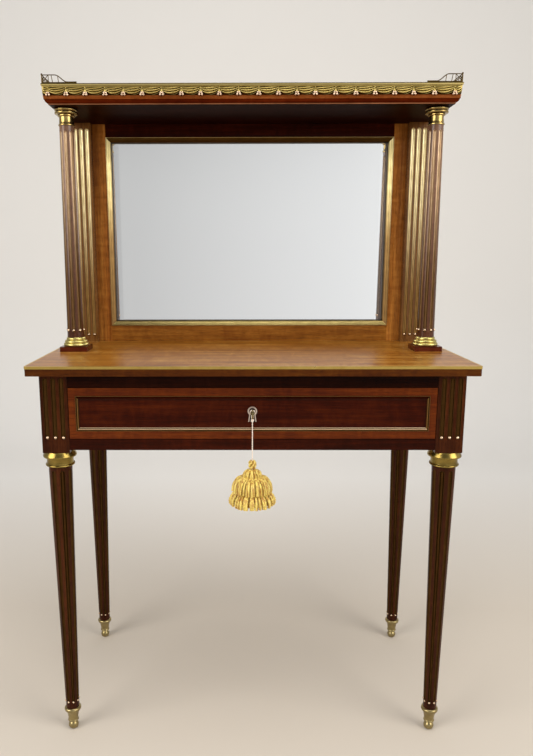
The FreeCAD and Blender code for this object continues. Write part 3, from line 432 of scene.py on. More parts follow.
def ring_tree():
    """Copies of one piece set evenly round Z, each a little turned and stretched."""
    jitters = ("Turn jitter", "Height jitter", "Width jitter")
    tree, given = pattern_tree(
        "pieces_round_an_axis",
        [("Count", "Int"), *((label, "Float") for label in jitters), ("Seed", "Int")],
    )
    line = add_node(
        tree, "GeometryNodeMeshLine", {"Count": given["Count"], "Offset": (0.0, 0.0, 0.0)}
    )
    step = add_node(
        tree, "ShaderNodeMath", {0: 2 * math.pi, 1: given["Count"]}, operation="DIVIDE"
    )
    chosen = []
    for salt, label in enumerate(jitters):
        low = add_node(tree, "ShaderNodeMath", {0: given[label], 1: -1.0}, operation="MULTIPLY")
        seed = add_node(tree, "ShaderNodeMath", {0: given["Seed"], 1: float(salt)})
        chosen.append(
            add_node(
                tree, "FunctionNodeRandomValue", {"Min": low, "Max": given[label], "Seed": seed},
                data_type="FLOAT",
            )
        )
    turn = add_node(
        tree, "ShaderNodeMath",
        {0: add_node(tree, "GeometryNodeInputIndex"), 1: step, 2: chosen[0]},
        operation="MULTIPLY_ADD",
    )
    tall, wide = (add_node(tree, "ShaderNodeMath", {0: value, 1: 1.0}) for value in chosen[1:])
    copies = add_node(
        tree, "GeometryNodeInstanceOnPoints",
        {
            "Points": line,
            "Instance": given["Geometry"],
            "Rotation": add_node(tree, "ShaderNodeCombineXYZ", {"Z": turn}),
            "Scale": add_node(tree, "ShaderNodeCombineXYZ", {"X": wide, "Y": wide, "Z": tall}),
        },
    )
    real = add_node(tree, "GeometryNodeRealizeInstances", {0: copies})
    sewn = add_node(tree, "GeometryNodeMergeByDistance", {"Geometry": real, "Distance": 1e-6})
    coated = add_node(
        tree, "GeometryNodeSetMaterial", {"Geometry": sewn, "Material": given["Finish"]}
    )
    add_node(tree, "NodeGroupOutput", {0: coated})
    return tree


round_an_axis = ring_tree()


def grow(piece, tree, **settings):
    """Runs a Geometry Nodes tree on a piece and keeps the result as its plain mesh."""
    modifier = piece.modifiers.new("pattern", "NODES")
    modifier.node_group = tree
    wanted = {label.replace("_", " ").capitalize(): v for label, v in settings.items()}
    for item in tree.interface.items_tree:
        if item.in_out == "INPUT" and item.name in wanted:
            modifier[item.identifier] = wanted[item.name]
    graph = bpy.context.evaluated_depsgraph_get()
    mesh = bpy.data.meshes.new_from_object(piece.evaluated_get(graph), depsgraph=graph)
    piece.modifiers.clear()
    piece.data = mesh
    return piece


def shape_of(piece):
    """The (vertices, faces) pair of a piece, which leaves the scene."""
    mesh = piece.data
    shape = [v.co.copy() for v in mesh.vertices], [tuple(p.vertices) for p in mesh.polygons]
    bpy.data.objects.remove(piece)
    return shape


def set_round(name, sector, count, finish):
    """A piece made of equal sectors round the Z axis."""
    return grow(
        new_piece(name, *sector), round_an_axis, count=count, turn_jitter=0.0,
        height_jitter=0.0, width_jitter=0.0, seed=1, finish=finish,
    )


def fluted_shaft(foot, foot_radius, head, head_radius, low_tip, high_tip, count):
    """One sector of a tapered shaft, wood and brass, for setting round its axis."""
    sector = math.pi / count
    half = sector * flute_share

    def radius_at(z):
        return foot_radius + (head_radius - foot_radius) * (z - foot) / (head - foot)

    def place(across, height, depth):
        angle = sector + across
        reach = radius_at(height) - depth
        return Vector((reach * math.cos(angle), reach * math.sin(angle), height))

    rows = flute_rows(foot, low_tip, high_tip, head, lambda z: half * radius_at(z))
    return fluted_field(
        rows, [0.0], half, -sector, sector, lambda z: 0.95 * half * radius_at(z), place
    )


def lathe(name, profile, finish, sides=56):
    """A turned piece: the outline of (radius, height) in millimetres, set round Z."""
    sector = math.pi / sides
    columns = [
        [(turn, height / 1000, radius / 1000) for radius, height in profile]
        for turn in (-sector, sector)
    ]

    def place(angle, height, radius):
        return Vector((radius * math.cos(angle), radius * math.sin(angle), height))

    return set_round(name, strip(columns, place), sides, finish)


def fluted_post(half_x, half_y, low, high, fluted, rows, pitch, half, depth):
    """A square post with chamfered corners: its wood, and the brass of three flutes on each
    of the sides that fluted names by the way they face."""
    wood, brass = [], []
    inset = corner_chamfer
    for faces_to, across, reach, wide in (
        ((1, 0), (0, 1), half_x, half_y), ((0, 1), (-1, 0), half_y, half_x),
        ((-1, 0), (0, -1), half_x, half_y), ((0, -1), (1, 0), half_y, half_x),
    ):
        out, along = Vector((*faces_to, 0)), Vector((*across, 0))

        def place(x, z, d, out=out, along=along, reach=reach):
            return out * (reach - d) + along * x + Vector((0, 0, z))

        edge = wide - inset
        if faces_to in fluted:
            centres = [-pitch, 0.0, pitch]
            some_wood, some_brass = fluted_field(
                rows, centres, half, -edge, edge, lambda z: depth, place, land_steps=1
            )
            wood.append(some_wood)
            brass.append(some_brass)
        else:
            wood.append(strip([[(x, z, 0.0) for z in (low, high)] for x in (-edge, edge)], place))
        corner = (out * reach + along * edge, out * (reach - inset) + along * wide)
        corner_points = [spot + Vector((0, 0, z)) for spot in corner for z in (low, high)]
        wood.append((corner_points, [(0, 2, 3, 1)]))
    ring = [
        (half_x, -half_y + inset), (half_x, half_y - inset), (half_x - inset, half_y),
        (-half_x + inset, half_y), (-half_x, half_y - inset), (-half_x, -half_y + inset),
        (-half_x + inset, -half_y), (half_x - inset, -half_y),
    ]
    for z, order in ((high, tuple(range(8))), (low, tuple(reversed(range(8))))):
        wood.append(([Vector((x, y, z)) for x, y in ring], [order]))
    return wood, brass


wood_sector, brass_sector = fluted_shaft(
    shoe_top, leg_toe_radius, collar_foot, leg_top_radius, shaft_flute_foot, shaft_flute_head,
    leg_flutes,
)
shaft_wood = shape_of(set_round("leg_shaft", wood_sector, leg_flutes, leg_wood))
shaft_brass = shape_of(set_round("leg_shaft_brass", brass_sector, leg_flutes, dark_channel))
block_rows = flute_rows(
    block_foot, block_flute_foot, block_flute_head, block_head, lambda z: block_flute_half
)
all_brass = []
for corner_name, sx, sy in corner_signs:
    wood_parts, brass_parts = fluted_post(
        block_half, block_half, block_foot, block_head,
        [(sx, 0), (0, -1)] if sy < 0 else [(sx, 0)],
        block_rows, block_flute_pitch, block_flute_half, block_flute_depth,
    )
    leg_shape = moved(merged(wood_parts + [shaft_wood]), sx * leg_x, sy * leg_y)
    leg = sew(new_piece("leg_" + corner_name + "_turned", *leg_shape, leg_wood))
    finish_piece(leg, "table", 30)
    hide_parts("leg_" + corner_name)
    all_brass.append(moved(merged(brass_parts + [shaft_brass]), sx * leg_x, sy * leg_y))
leg_channels = sew(new_piece("leg_flute_channels", *merged(all_brass), dark_channel))
finish_piece(leg_channels, "table", 35)
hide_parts("leg_flute_brass")


def tube(path, radius_at, sides, lobes=0, twist=0.0, closed=False):
    """Rings along a path, round or lobed; twist is the turns of the lobes on the way."""
    vertices, faces = [], []
    count = len(path)
    last = count if closed else count - 1
    side = None
    for i, centre in enumerate(path):
        before = path[i - 1] if i or closed else path[0]
        after = path[(i + 1) % count] if i < count - 1 or closed else path[-1]
        along = (after - before).normalized()
        if side is None:
            side = along.orthogonal().normalized()
        side = (side - along * side.dot(along)).normalized()
        other = along.cross(side)
        share = i / last
        radius = radius_at(share)
        for k in range(sides):
            angle = 2 * math.pi * k / sides
            wave = 1.0
            if lobes:
                wave = 0.8 + 0.2 * math.cos(lobes * (angle - 2 * math.pi * twist * share))
            vertices.append(
                centre + (side * math.cos(angle) + other * math.sin(angle)) * radius * wave
            )
    for i in range(last):
        near, far = i * sides, (i + 1) % count * sides
        for k in range(sides):
            after = (k + 1) % sides
            faces.append((near + k, near + after, far + after, far + k))
    if not closed:
        faces.append(tuple(reversed(range(sides))))
        faces.append(tuple((count - 1) * sides + k for k in range(sides)))
    return vertices, faces


def bead(middle, radius):
    """A small ball, made of rings along Z."""
    path = [middle + Vector((0, 0, -radius * math.cos(math.pi * k / 8))) for k in range(9)]
    return tube(path, lambda share: radius * (0.01 + math.sin(math.pi * share)), 12)


def tip_beads(name, places):
    """The turned brass tip at the foot of each flute: a ball half sunk in the channel."""
    balls = [bead(Vector(place), radius) for place, radius in places]
    tips = new_piece(name, *merged(balls), tip_brass)
    return finish_piece(tips, "table", 60)


def flute_turns(count):
    """The angles of the middles of flutes that lie evenly round a shaft."""
    return [2 * math.pi * (k + 0.5) / count for k in range(count)]


tip_inset = 0.0006
tip_reach, shaft_tip_height, block_tip_height = 0.0128, 0.0641, 0.6148
shaft_tip_radius, block_tip_radius = 0.0021, 0.0030
tips = []
for _, sx, sy in corner_signs:
    x, y = sx * leg_x, sy * leg_y
    proud = block_half - tip_inset
    for a in flute_turns(leg_flutes):
        spot = (x + tip_reach * math.cos(a), y + tip_reach * math.sin(a), shaft_tip_height)
        tips.append((spot, shaft_tip_radius))
    for aside in (-block_flute_pitch, 0.0, block_flute_pitch):
        tips.append(((x + sx * proud, y + aside, block_tip_height), block_tip_radius))
        if sy < 0:
            tips.append(((x + aside, y - proud, block_tip_height), block_tip_radius))
tip_beads("leg_flute_tips", tips)

collar_outline = (
    (22.0, 557.0), (25.4, 557.0), (26.7, 557.7), (27.1, 558.8), (26.7, 560.0), (25.6, 560.8),
    (24.8, 561.4), (24.5, 563.0), (24.4, 567.0), (24.6, 572.0), (25.2, 573.2), (29.2, 573.8),
    (30.6, 574.5), (31.0, 575.6), (30.9, 576.8), (30.3, 578.2), (29.2, 580.4), (28.1, 582.6),
    (27.4, 584.2), (27.1, 585.4), (22.0, 585.4),
)
shoe_outline = (
    (0.0, 0.0), (3.4, 0.0), (6.6, 0.9), (9.0, 3.4), (10.0, 7.8), (9.4, 11.0), (7.6, 14.0),
    (5.8, 15.6), (5.5, 16.6), (6.0, 17.4), (9.8, 17.8), (10.6, 18.8), (10.6, 20.0),
    (9.8, 21.0), (9.5, 21.8), (10.0, 27.0), (11.2, 34.0), (12.6, 39.6), (13.4, 40.8),
    (15.4, 41.6), (16.3, 43.4), (16.3, 45.8), (15.4, 48.0), (13.6, 49.0), (12.4, 49.2),
    (12.0, 48.0),
)
for source_name, outline, finish in (
    ("leg_collar_", collar_outline, collar_brass), ("foot_sabot_", shoe_outline, shoe_brass),
):
    turned = shape_of(lathe("turned_" + source_name, outline, finish))
    for corner_name, sx, sy in corner_signs:
        shape = moved(turned, sx * leg_x, sy * leg_y)
        piece = new_piece(source_name + corner_name + "_turned", *shape, finish)
        finish_piece(piece, "table", 42)
        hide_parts(source_name + corner_name)

# The frieze and the top: mahogany rails and aprons tenoned into the blocks, then a solid
# top with a brass strip let into its upper edge. The runners, kickers and stops inside are
# plain oak, glued and screwed to the rails and aprons.


def in_box(low, high):
    """A mask: 1 inside a box, 0 outside it."""

    def mask(tree, place):
        apart = add_node(tree, "ShaderNodeSeparateXYZ", {0: place}).outputs
        inside = 1.0
        for axis, bottom, top in zip("XYZ", low, high):
            for edge, operation in ((bottom, "GREATER_THAN"), (top, "LESS_THAN")):
                test = add_node(
                    tree, "ShaderNodeMath", {0: apart[axis], 1: edge}, operation=operation
                )
                inside = add_node(
                    tree, "ShaderNodeMath", {0: test, 1: inside}, operation="MULTIPLY"
                )
        return inside

    return mask


def coat(material, *names):
    """Gives CAD nodes their finish."""
    for name in names:
        nodes[name].data.materials.clear()
        nodes[name].data.materials.append(material)


# French-polished mahogany, dark with age: almost black-red, with little figure left. On the mirror
# frame's top rail the same wood is painted shade under the shelf.
deep_tones = ("1E0500", "2E0A01", "421404")
wood_across = grained_wood("polished_mahogany_dark_x", "X", deep_tones, gloss=0.09)
wood_deep = grained_wood("polished_mahogany_dark_y", "Y", deep_tones, gloss=0.09)
# The same wood in the deep shade under the overhanging top.
shaded_wood = grained_wood(
    "polished_mahogany_shaded_x", "X", ("120200", "1C0500", "2A0C03"), gloss=0.07
)
# French-polished mahogany, faded by daylight to orange brown, with a painted sheen that makes its
# face paler and yellower; its edge is a darker brown.
wood_top = grained_wood(
    "polished_mahogany_table_top", "X", ("66340A", "965E1C", "BC8A42"), 0.28, 0.12,
    [(in_box((-0.5, -0.5, 0.7), (0.5, 0.5, 0.7448)), ("381501", "4E2503", "623709"))],
)
# Planed oak without polish: pale, dry and matt.
oak_tones = ("9A7748", "B08C5A", "C4A272")
oak = grained_wood("planed_oak", "Y", oak_tones, 0.62)
# Drawn brass strip, rubbed by use: an unbroken bright line.
thin_brass = aged_brass("drawn_brass_strip", ("E4C670", "B49248"), 0.3)
coat(shaded_wood, "front_top_rail")
coat(wood_across, "front_bottom_rail", "back_apron")
coat(wood_deep, "side_apron_left", "side_apron_right")
coat(oak, "drawer_runners", "drawer_kickers", "drawer_stops")
coat(wood_top, "table_top")
coat(thin_brass, "table_top_brass_edge")

# The drawer, its lock and its key: a dovetailed oak drawer behind a mahogany front, which
# has a warm border round a dark panel, with a stepped brass frame let in between them. A
# flared brass keyhole plate is pinned over the box lock, which is screwed on from inside.

# French-polished mahogany: a red-brown border round a panel of darker wood.
drawer_face = grained_wood(
    "polished_mahogany_drawer_front", "X", ("46190A", "5C260A", "74360F"), gloss=0.1,
    layers=[
        (in_box((-0.3129, -0.3, 0.6354), (0.3129, 0.3, 0.6841)), ("220600", "340B01", "4A1903"))
    ],
)
coat(drawer_face, "drawer_front")
coat(oak, "drawer_side_left", "drawer_side_right", "drawer_back", "drawer_bottom")


def framed(name, node, profile, finishes, body, side_marks=()):
    """A mitred frame in the place of a CAD node. The profile's points are millimetres
    inwards from its outer edge and outwards from its back, each with its finish. Each
    entry of side_marks gives one side, from the bottom on, another finish for a part."""
    low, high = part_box(node)
    vertices, faces, marks = [], [], []
    corners = (
        (low.x, low.z, 1, 1), (high.x, low.z, -1, 1), (high.x, high.z, -1, -1),
        (low.x, high.z, 1, -1),
    )
    for k, here in enumerate(corners):
        base = len(vertices)
        for inward, outward, _ in profile:
            for x, z, sx, sz in (here, corners[(k + 1) % 4]):
                vertices.append(
                    (x + sx * inward / 1000, high.y - outward / 1000, z + sz * inward / 1000)
                )
        for n, (_, _, mark) in enumerate(profile[:-1]):
            a = base + 2 * n
            faces.append((a, a + 1, a + 3, a + 2))
            marks.append(dict(side_marks).get((k, mark), mark))
    piece = new_piece(name, vertices, faces)
    for finish in finishes:
        piece.data.materials.append(finish)
    for polygon, mark in zip(piece.data.polygons, marks):
        polygon.material_index = mark
    finish_piece(piece, body, 35)
    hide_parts(node)
    return piece


# Brass beads with a brown bloom: thin reddish gold lines.
frieze_brass = aged_brass("aged_brass_bead", ("A8804C", "74562E"), 0.3)
# Brass that polish never reaches: dark hollows between the beads.
dull_brass = aged_brass("patinated_brass_strip", ("45331A", "33240F"), 0.45)
# Pale brass on the bead and lip that face up along the drawer moulding's bottom side: a painted
# highlight, a pale line.
upward_bead_highlight_brass = aged_brass("brass_bead_painted_highlight", ("F6D8B4", "D8B68E"), 0.34)
framed(
    "drawer_moulding_beads",
    "drawer_moulding",
    (
        (0.0, 1.6, 0), (0.1, 2.4, 0), (0.4, 2.9, 0), (0.9, 2.9, 0), (1.2, 2.4, 1), (1.4, 1.9, 1),
        (2.1, 1.7, 1), (2.6, 2.2, 2), (2.9, 3.1, 2), (3.4, 3.7, 2), (4.3, 3.7, 2), (4.9, 3.0, 1),
        (5.4, 2.2, 1), (5.9, 2.0, 5), (6.7, 1.7, 3), (8.5, 1.3, 3),
    ),
    (frieze_brass, dull_brass, frieze_brass, wood_across, upward_bead_highlight_brass, wood_across),
    "drawer",
    # On the bottom side a bead and the lip take the pale brass, a painted highlight; on the top
    # side, under the overhanging top, a bead and its hollows take the dark wood, painted shade.
    side_marks=(((0, 2), 4), ((0, 5), 4), ((2, 2), 3), ((2, 1), 3)),
)

key_height = 0.6645
ring_edge, skirt_edge = (0.0058, 0.0063), (0.0026, 0.0031)
skirt_flare = 1 / 7


def higher_up(low, high):
    """A mask: 0 below one height, 1 above another, and a soft change between them."""

    def mask(tree, place):
        height = add_node(tree, "ShaderNodeSeparateXYZ", {0: place}).outputs["Z"]
        return add_node(
            tree, "ShaderNodeMapRange", {"Value": height, "From Min": low, "From Max": high},
            interpolation_type="SMOOTHSTEP",
        )

    return mask


def rim_mask(tree, place):
    """1 on the rim of the keyhole plate, 0 on what lies inside the ring and between the
    two sides of the skirt, which flare downwards."""
    from_key = add_node(
        tree, "ShaderNodeVectorMath", {0: place, 1: (0.0, 0.0, key_height)}, operation="SUBTRACT"
    )
    flat = add_node(
        tree, "ShaderNodeVectorMath", {0: from_key, 1: (1.0, 0.0, 1.0)}, operation="MULTIPLY"
    )
    reach = add_node(tree, "ShaderNodeVectorMath", {0: flat}, operation="LENGTH")
    apart = add_node(tree, "ShaderNodeSeparateXYZ", {0: from_key}).outputs
    aside = add_node(tree, "ShaderNodeMath", {0: apart["X"]}, operation="ABSOLUTE")
    spread = add_node(
        tree, "ShaderNodeMath", {0: apart["Z"], 1: skirt_flare, 2: aside},
        operation="MULTIPLY_ADD",
    )
    ring, skirt = (
        add_node(tree, "ShaderNodeMapRange", {"Value": value, "From Min": low, "From Max": high})
        for value, (low, high) in ((reach, ring_edge), (spread, skirt_edge))
    )
    above = higher_up(key_height - 0.001, key_height)(tree, place)
    either = add_node(tree, "ShaderNodeMath", {0: skirt, 1: above}, operation="MAXIMUM")
    return add_node(tree, "ShaderNodeMath", {0: ring, 1: either}, operation="MINIMUM")


# Brass painted in two tones: a pale rim, a painted highlight, round a near black face and skirt,
# painted shade in the hollow.
plate_brass = aged_brass(
    "silvery_brass_plate", ("241A0E", "181008"), 0.3, [(rim_mask, ("F6E6DC", "CDBBAE"))]
)
# Brass worn smooth by the hand: small cool highlights.
key_brass = aged_brass("worn_silvery_brass", ("A3946C", "6A5C3C"), 0.22)
# Sawn and filed brass, never polished: a flat yellow.
lock_brass = aged_brass("plain_lock_brass", ("A98B52", "7A6236"), 0.42)
coat(plate_brass, "key_escutcheon")
coat(key_brass, "key")
coat(lock_brass, "lock_case", "lock_screws", "lock_bolt")

# The cord and its tassel: a thin two-ply silk cord, looped round the key's shank, hangs
# straight under the tassel's weight. The tassel has a knot, a small ruff and two tiers of
# twisted bullion, bound on a core.

cord_y = -0.2015
key_shank_radius = 0.0025
cord_radius = 0.0011
ply_turn = 0.009
cord_top = key_height - key_shank_radius - 2.4 * cord_radius
cord_foot, cord_end = 0.5765, 0.5230
loop_gap = 0.0004


def twisted_silk(name, base, shade, strand_width):
    """Reeled silk, twisted: a soft sheen, and colour that drifts from strand to strand."""
    material, tree, place = new_material(name)
    across = 1 / strand_width
    scaled = add_node(
        tree, "ShaderNodeMapping", {"Vector": place, "Scale": (across, across, 0.2 * across)}
    )
    cloud = add_node(tree, "ShaderNodeTexNoise", {"Vector": scaled, "Scale": 1.0, "Detail": 2.0})
    drift = add_node(
        tree, "ShaderNodeMapRange", {"Value": cloud, "From Min": 0.36, "From Max": 0.60}
    )
    colour = add_node(
        tree, "ShaderNodeMix", {"Factor": drift, "A": linear(shade), "B": linear(base)},
        data_type="RGBA",
    )
    shader = add_node(
        tree, "ShaderNodeBsdfPrincipled",
        {"Base Color": colour, "Roughness": 0.42, "Sheen Weight": 0.35, "Sheen Roughness": 0.4},
    )
    add_node(tree, "ShaderNodeOutputMaterial", {"Surface": shader})
    return material


# Undyed silk: a creamy white thread against the dark wood.
cord_silk = twisted_silk("twisted_silk_cream", "FFF2E6", "E2CDBC", 0.002)
# Yellow silk: bright strands with brown gold between them.
gold_silk = twisted_silk("twisted_silk_gold", "F3DB74", "B8842C", 0.0042)

route = bpy.data.curves.new("cord_route", "CURVE")
route.dimensions = "3D"
spline = route.splines.new("NURBS")
route_heights = (cord_top, cord_top - 0.012, (cord_top + cord_foot) / 2, cord_foot, cord_end)
spline.points.add(len(route_heights) - 1)
for spot, height in zip(spline.points, route_heights):
    spot.co = (0, cord_y, height, 1)
spline.order_u = 3
spline.use_endpoint_u = True
route_object = bpy.data.objects.new("cord_route", route)
scene.collection.objects.link(route_object)
route_mesh = bpy.data.meshes.new_from_object(route_object)
cord_path = [v.co.copy() for v in route_mesh.vertices]
bpy.data.objects.remove(route_object)
bpy.data.meshes.remove(route_mesh)
if cord_path[0].z < cord_path[-1].z:
    cord_path.reverse()
fine_path = []
ring_gap = 0.0006
for near, far in zip(cord_path, cord_path[1:]):
    steps = max(1, round((far - near).length / ring_gap))
    fine_path += [near.lerp(far, k / steps) for k in range(steps)]
fine_path.append(cord_path[-1])
cord_length = sum((b - a).length for a, b in zip(cord_path, cord_path[1:]))
cord_shape = tube(
    fine_path, lambda share: cord_radius, 10, lobes=2, twist=cord_length / ply_turn
)
cord = new_piece("silk_cord", *cord_shape, cord_silk)
finish_piece(cord, "tassel")
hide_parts("key_cord")


def turns_of(count):
    """The angles of points set evenly round a circle."""
    return [2 * math.pi * k / count for k in range(count)]


loop_radius = key_shank_radius + loop_gap + cord_radius
loop_path = [
    Vector((loop_radius * math.sin(a), cord_y, key_height - loop_radius * math.cos(a)))
    for a in turns_of(40)
]
hitch_parts = [tube(loop_path, lambda share: cord_radius, 8, lobes=2, twist=3, closed=True)]
for drop, reach in (
    (0.0006, 0.0016), (0.0027, 0.0016), (0.0048, 0.0016), (0.0086, 0.0021), (0.0107, 0.0021),
):
    hitch_path = [
        Vector(
            (reach * math.cos(a), cord_y + reach * math.sin(a),
             cord_top - drop + 0.0004 * math.cos(a))
        )
        for a in turns_of(20)
    ]
    hitch_parts.append(tube(hitch_path, lambda share: cord_radius * 0.95, 8, closed=True))
hitch = new_piece("silk_cord_hitch", *merged(hitch_parts), cord_silk)
finish_piece(hitch, "tassel")

knot_middle, knot_rise = 0.5672, 0.0058
knot_reach, knot_swing = 0.0038, 0.0022
knot_strand_radius = 0.0023
knot_turns, knot_waves = 3, 5
knot_path = []
for a in turns_of(150):
    reach = knot_reach + knot_swing * math.cos(knot_waves * a)
    turn = knot_turns * a
    height = knot_middle + knot_rise * math.sin(knot_waves * a)
    knot_path.append(
        Vector((reach * math.cos(turn), cord_y + reach * math.sin(turn), height))
    )
knot_shape = tube(
    knot_path, lambda share: knot_strand_radius, 10, lobes=2, twist=22, closed=True
)
knot = new_piece("tassel_knot", *knot_shape, gold_silk)
finish_piece(knot, "tassel")
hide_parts("tassel_head")


def smooth_line(stations, steps):
    """Points along a smooth curve through stations."""
    points = []
    last = len(stations) - 1
    for i in range(last):
        a, b, c, d = (
            Vector(stations[max(0, min(last, i + shift))]) for shift in (-1, 0, 1, 2)
        )
        for k in range(steps):
            t = k / steps
            square = (2 * a - 5 * b + 4 * c - d) * t * t
            points.append(0.5 * (2 * b + (c - a) * t + square + (3 * b - a - 3 * c + d) * t**3))
    points.append(Vector(stations[-1]))
    return points


# A real tier has a hundred strands or more, 1 to 2 mm thick. They are drawn fewer and
# thicker, so that each still shows as a twisted strand.
for name, top, count, radius, twists, turn_jitter, height_jitter, seed, outline in (
    ("tassel_ruff", 0.5566, 21, 0.0021, 3.5, 0.08, 0.08, 3,
     ((3.0, 0.0), (9.0, 0.8), (14.0, 4.5), (16.0, 9.2), (15.4, 14.2))),
    ("tassel_skirt_upper", 0.5420, 46, 0.0023, 5.5, 0.05, 0.07, 11,
     ((6.0, 0.0), (17.5, -1.2), (27.0, 2.2), (32.5, 9.0), (34.6, 16.0), (35.2, 24.2))),
    ("tassel_skirt_lower", 0.5275, 41, 0.0031, 5.0, 0.05, 0.02, 29,
     ((10.0, -2.0), (20.5, 0.0), (24.5, 7.0), (29.0, 11.5), (35.0, 16.5), (38.8, 23.0),
      (39.8, 29.0), (38.6, 34.3))),
):
    line = smooth_line([(out / 1000, 0, -down / 1000) for out, down in outline], 5)
    strand = tube(
        line, lambda share: radius * (0.75 + 0.35 * share), 8, lobes=2, twist=twists
    )
    tier = grow(
        new_piece(name, *strand), round_an_axis, count=count, turn_jitter=turn_jitter,
        height_jitter=height_jitter, width_jitter=0.035, seed=seed, finish=gold_silk,
    )
    tier.data.transform(Matrix.Translation((0, cord_y, top)))
    finish_piece(tier, "tassel")
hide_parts("tassel_skirt")

core_shape = tube(
    [Vector((0, cord_y, z)) for z in (0.5540, 0.5400, 0.5200, 0.5100, 0.4960)],
    lambda share: 0.006 + 0.014 * min(1.0, 4 * share) + 0.016 * max(0.0, 2 * share - 1),
    24,
)
core = new_piece("tassel_core", *core_shape, gold_silk)
finish_piece(core, "tassel")

tuple(cord_path[0])
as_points(cord_path)

# The columns: each stands on a square mahogany plinth and a cast base of three rounded
# rings, and tapers to a cast capital with a double ring. Brass channels line its eight
# flutes, and dowels hold it between the table top and the shelf.

# French-polished mahogany: grey brown, paler towards the head, where the paler wood is a painted
# highlight.
column_wood = grained_wood(
    "polished_mahogany_column", "Z", ("3A1E0E", "4E2C18", "623C26"), gloss=0.3,
    layers=[(higher_up(0.85, 1.15), ("5E4030", "785844", "94725C"))],
)
# Rolled brass: brown at the foot, pale gold bars at the head, where the pale gold is a painted
# highlight.
column_channel = aged_brass(
    "rolled_brass_column_channel", ("7A5C3A", "5E4428"), 0.38,
    [(higher_up(0.86, 1.18), ("D2B696", "A88E6C"))],
)
# Cast brass, fire gilt: dark gold with sharp bright rings.
ormolu = aged_brass("gilt_cast_brass", ("BDA468", "766034"), 0.22)
# Turned brass, gilt: a brighter copy of the capitals' brass, painted light on the column's foot:
# broad lemon yellow rings.
base_brass = aged_brass("gilt_turned_brass_base", ("DED08A", "A8984E"), 0.34)
# French-polished mahogany: a dark red block.
plinth_wood = grained_wood(
    "polished_mahogany_plinth", "X", ("341006", "4A1A0A", "602812"), gloss=0.14
)

column_x = 0.360
column_foot, column_head = 0.778, 1.190
column_foot_radius, column_head_radius = 0.0171, 0.0143
column_flute_foot, column_flute_head = 0.7885, 1.180
column_flutes = 8
column_tip_reach, column_tip_height = 0.0162, 0.7925
column_tip_radius = 0.0027
base_outline = (
    (16.6, 760.0), (24.0, 760.0), (25.0, 761.3), (25.2, 763.0), (24.8, 764.9), (23.6, 766.0),
    (22.2, 766.3), (22.3, 766.8), (22.9, 768.2), (22.7, 770.2), (21.6, 771.6), (19.6, 772.0),
    (18.6, 772.3), (19.0, 774.0), (18.9, 776.0), (18.0, 777.6), (17.0, 778.0), (14.0, 778.0),
)
capital_outline = (
    (12.0, 1190.0), (14.8, 1190.0), (15.8, 1190.6), (16.0, 1191.6), (15.7, 1192.8),
    (14.8, 1193.3), (14.5, 1193.8), (14.1, 1198.0), (13.7, 1203.0), (13.7, 1206.6),
    (15.3, 1207.2), (16.5, 1208.3), (16.5, 1209.7), (15.3, 1210.8), (15.0, 1211.1),
    (20.4, 1211.3), (21.6, 1211.9), (22.1, 1213.2), (22.1, 1214.6), (21.5, 1215.9),
    (20.5, 1216.5), (20.4, 1217.0), (21.5, 1217.5), (22.1, 1218.8), (22.1, 1220.6),
    (21.5, 1221.9), (20.6, 1222.4), (12.0, 1222.4),
)
wood_sector, brass_sector = fluted_shaft(
    column_foot, column_foot_radius, column_head, column_head_radius, column_flute_foot,
    column_flute_head, column_flutes,
)
channels, tips = [], []
for side, x, turn in (("_left", -column_x, math.pi / 8), ("_right", column_x, 0.0)):
    stand = Matrix.Translation((x, 0, 0)) @ Matrix.Rotation(turn, 4, "Z")
    shaft = set_round("column_shaft" + side + "_turned", wood_sector, column_flutes, column_wood)
    shaft.data.transform(stand)
    finish_piece(shaft, "table", 30)
    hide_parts("column_shaft" + side)
    channel = set_round("column_channels", brass_sector, column_flutes, column_channel)
    channel.data.transform(stand)
    channels.append(shape_of(channel))
    for a in flute_turns(column_flutes):
        ahead, aside = (column_tip_reach * part(a + turn) for part in (math.cos, math.sin))
        tips.append(((x + ahead, aside, column_tip_height), column_tip_radius))
    for source_name, outline, finish in (
        ("column_base", base_outline, base_brass), ("column_capital", capital_outline, ormolu),
    ):
        turned = shape_of(lathe("turned_" + source_name, outline, finish))
        piece = new_piece(source_name + side + "_turned", *moved(turned, x, 0), finish)
        finish_piece(piece, "table", 42)
        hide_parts(source_name + side)
column_channels = new_piece("column_flute_channels", *merged(channels), column_channel)
finish_piece(column_channels, "table", 35)
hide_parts("column_flute_brass")
tip_beads("column_flute_tips", tips)
coat(plinth_wood, "column_plinth_left", "column_plinth_right")

# The pilasters and the mirror: two fluted mahogany pilasters flank a tenoned frame of the
# same wood. A stepped brass moulding holds the silvered plate, whose edge is ground to a
# wide shallow bevel, and an oak backboard closes the frame behind.

# French-polished mahogany in half shade: yellow brown between the channels.
pilaster_wood = grained_wood(
    "polished_mahogany_pilaster", "Z", ("4E2C10", "68421C", "80562A"), gloss=0.3
)
# Rolled brass: brown at the foot, pale straw at the head, where the pale straw is a painted
# highlight.
pilaster_channel = aged_brass(
    "rolled_brass_pilaster_channel", ("86673A", "6A4D28"), 0.36,
    [(higher_up(0.84, 1.18), ("E2D6AC", "C2AE80"))],
)
pilaster_middle, pilaster_y = 0.3635, 0.163
pilaster_half_x, pilaster_half_y = 0.021, 0.024
pilaster_foot, pilaster_head = 0.750, 1.2225
pilaster_flute_foot, pilaster_flute_head = 0.763, 1.211
pilaster_pitch, pilaster_flute_half, pilaster_flute_depth = 0.0124, 0.0042, 0.0032
pilaster_tip_height, pilaster_tip_radius = 0.7665, 0.0027
pilaster_rows = flute_rows(
    pilaster_foot, pilaster_flute_foot, pilaster_flute_head, pilaster_head,
    lambda z: pilaster_flute_half,
)
wood_parts, brass_parts = fluted_post(
    pilaster_half_x, pilaster_half_y, pilaster_foot, pilaster_head, [(0, -1)], pilaster_rows,
    pilaster_pitch, pilaster_flute_half, pilaster_flute_depth,
)
all_brass, tips = [], []
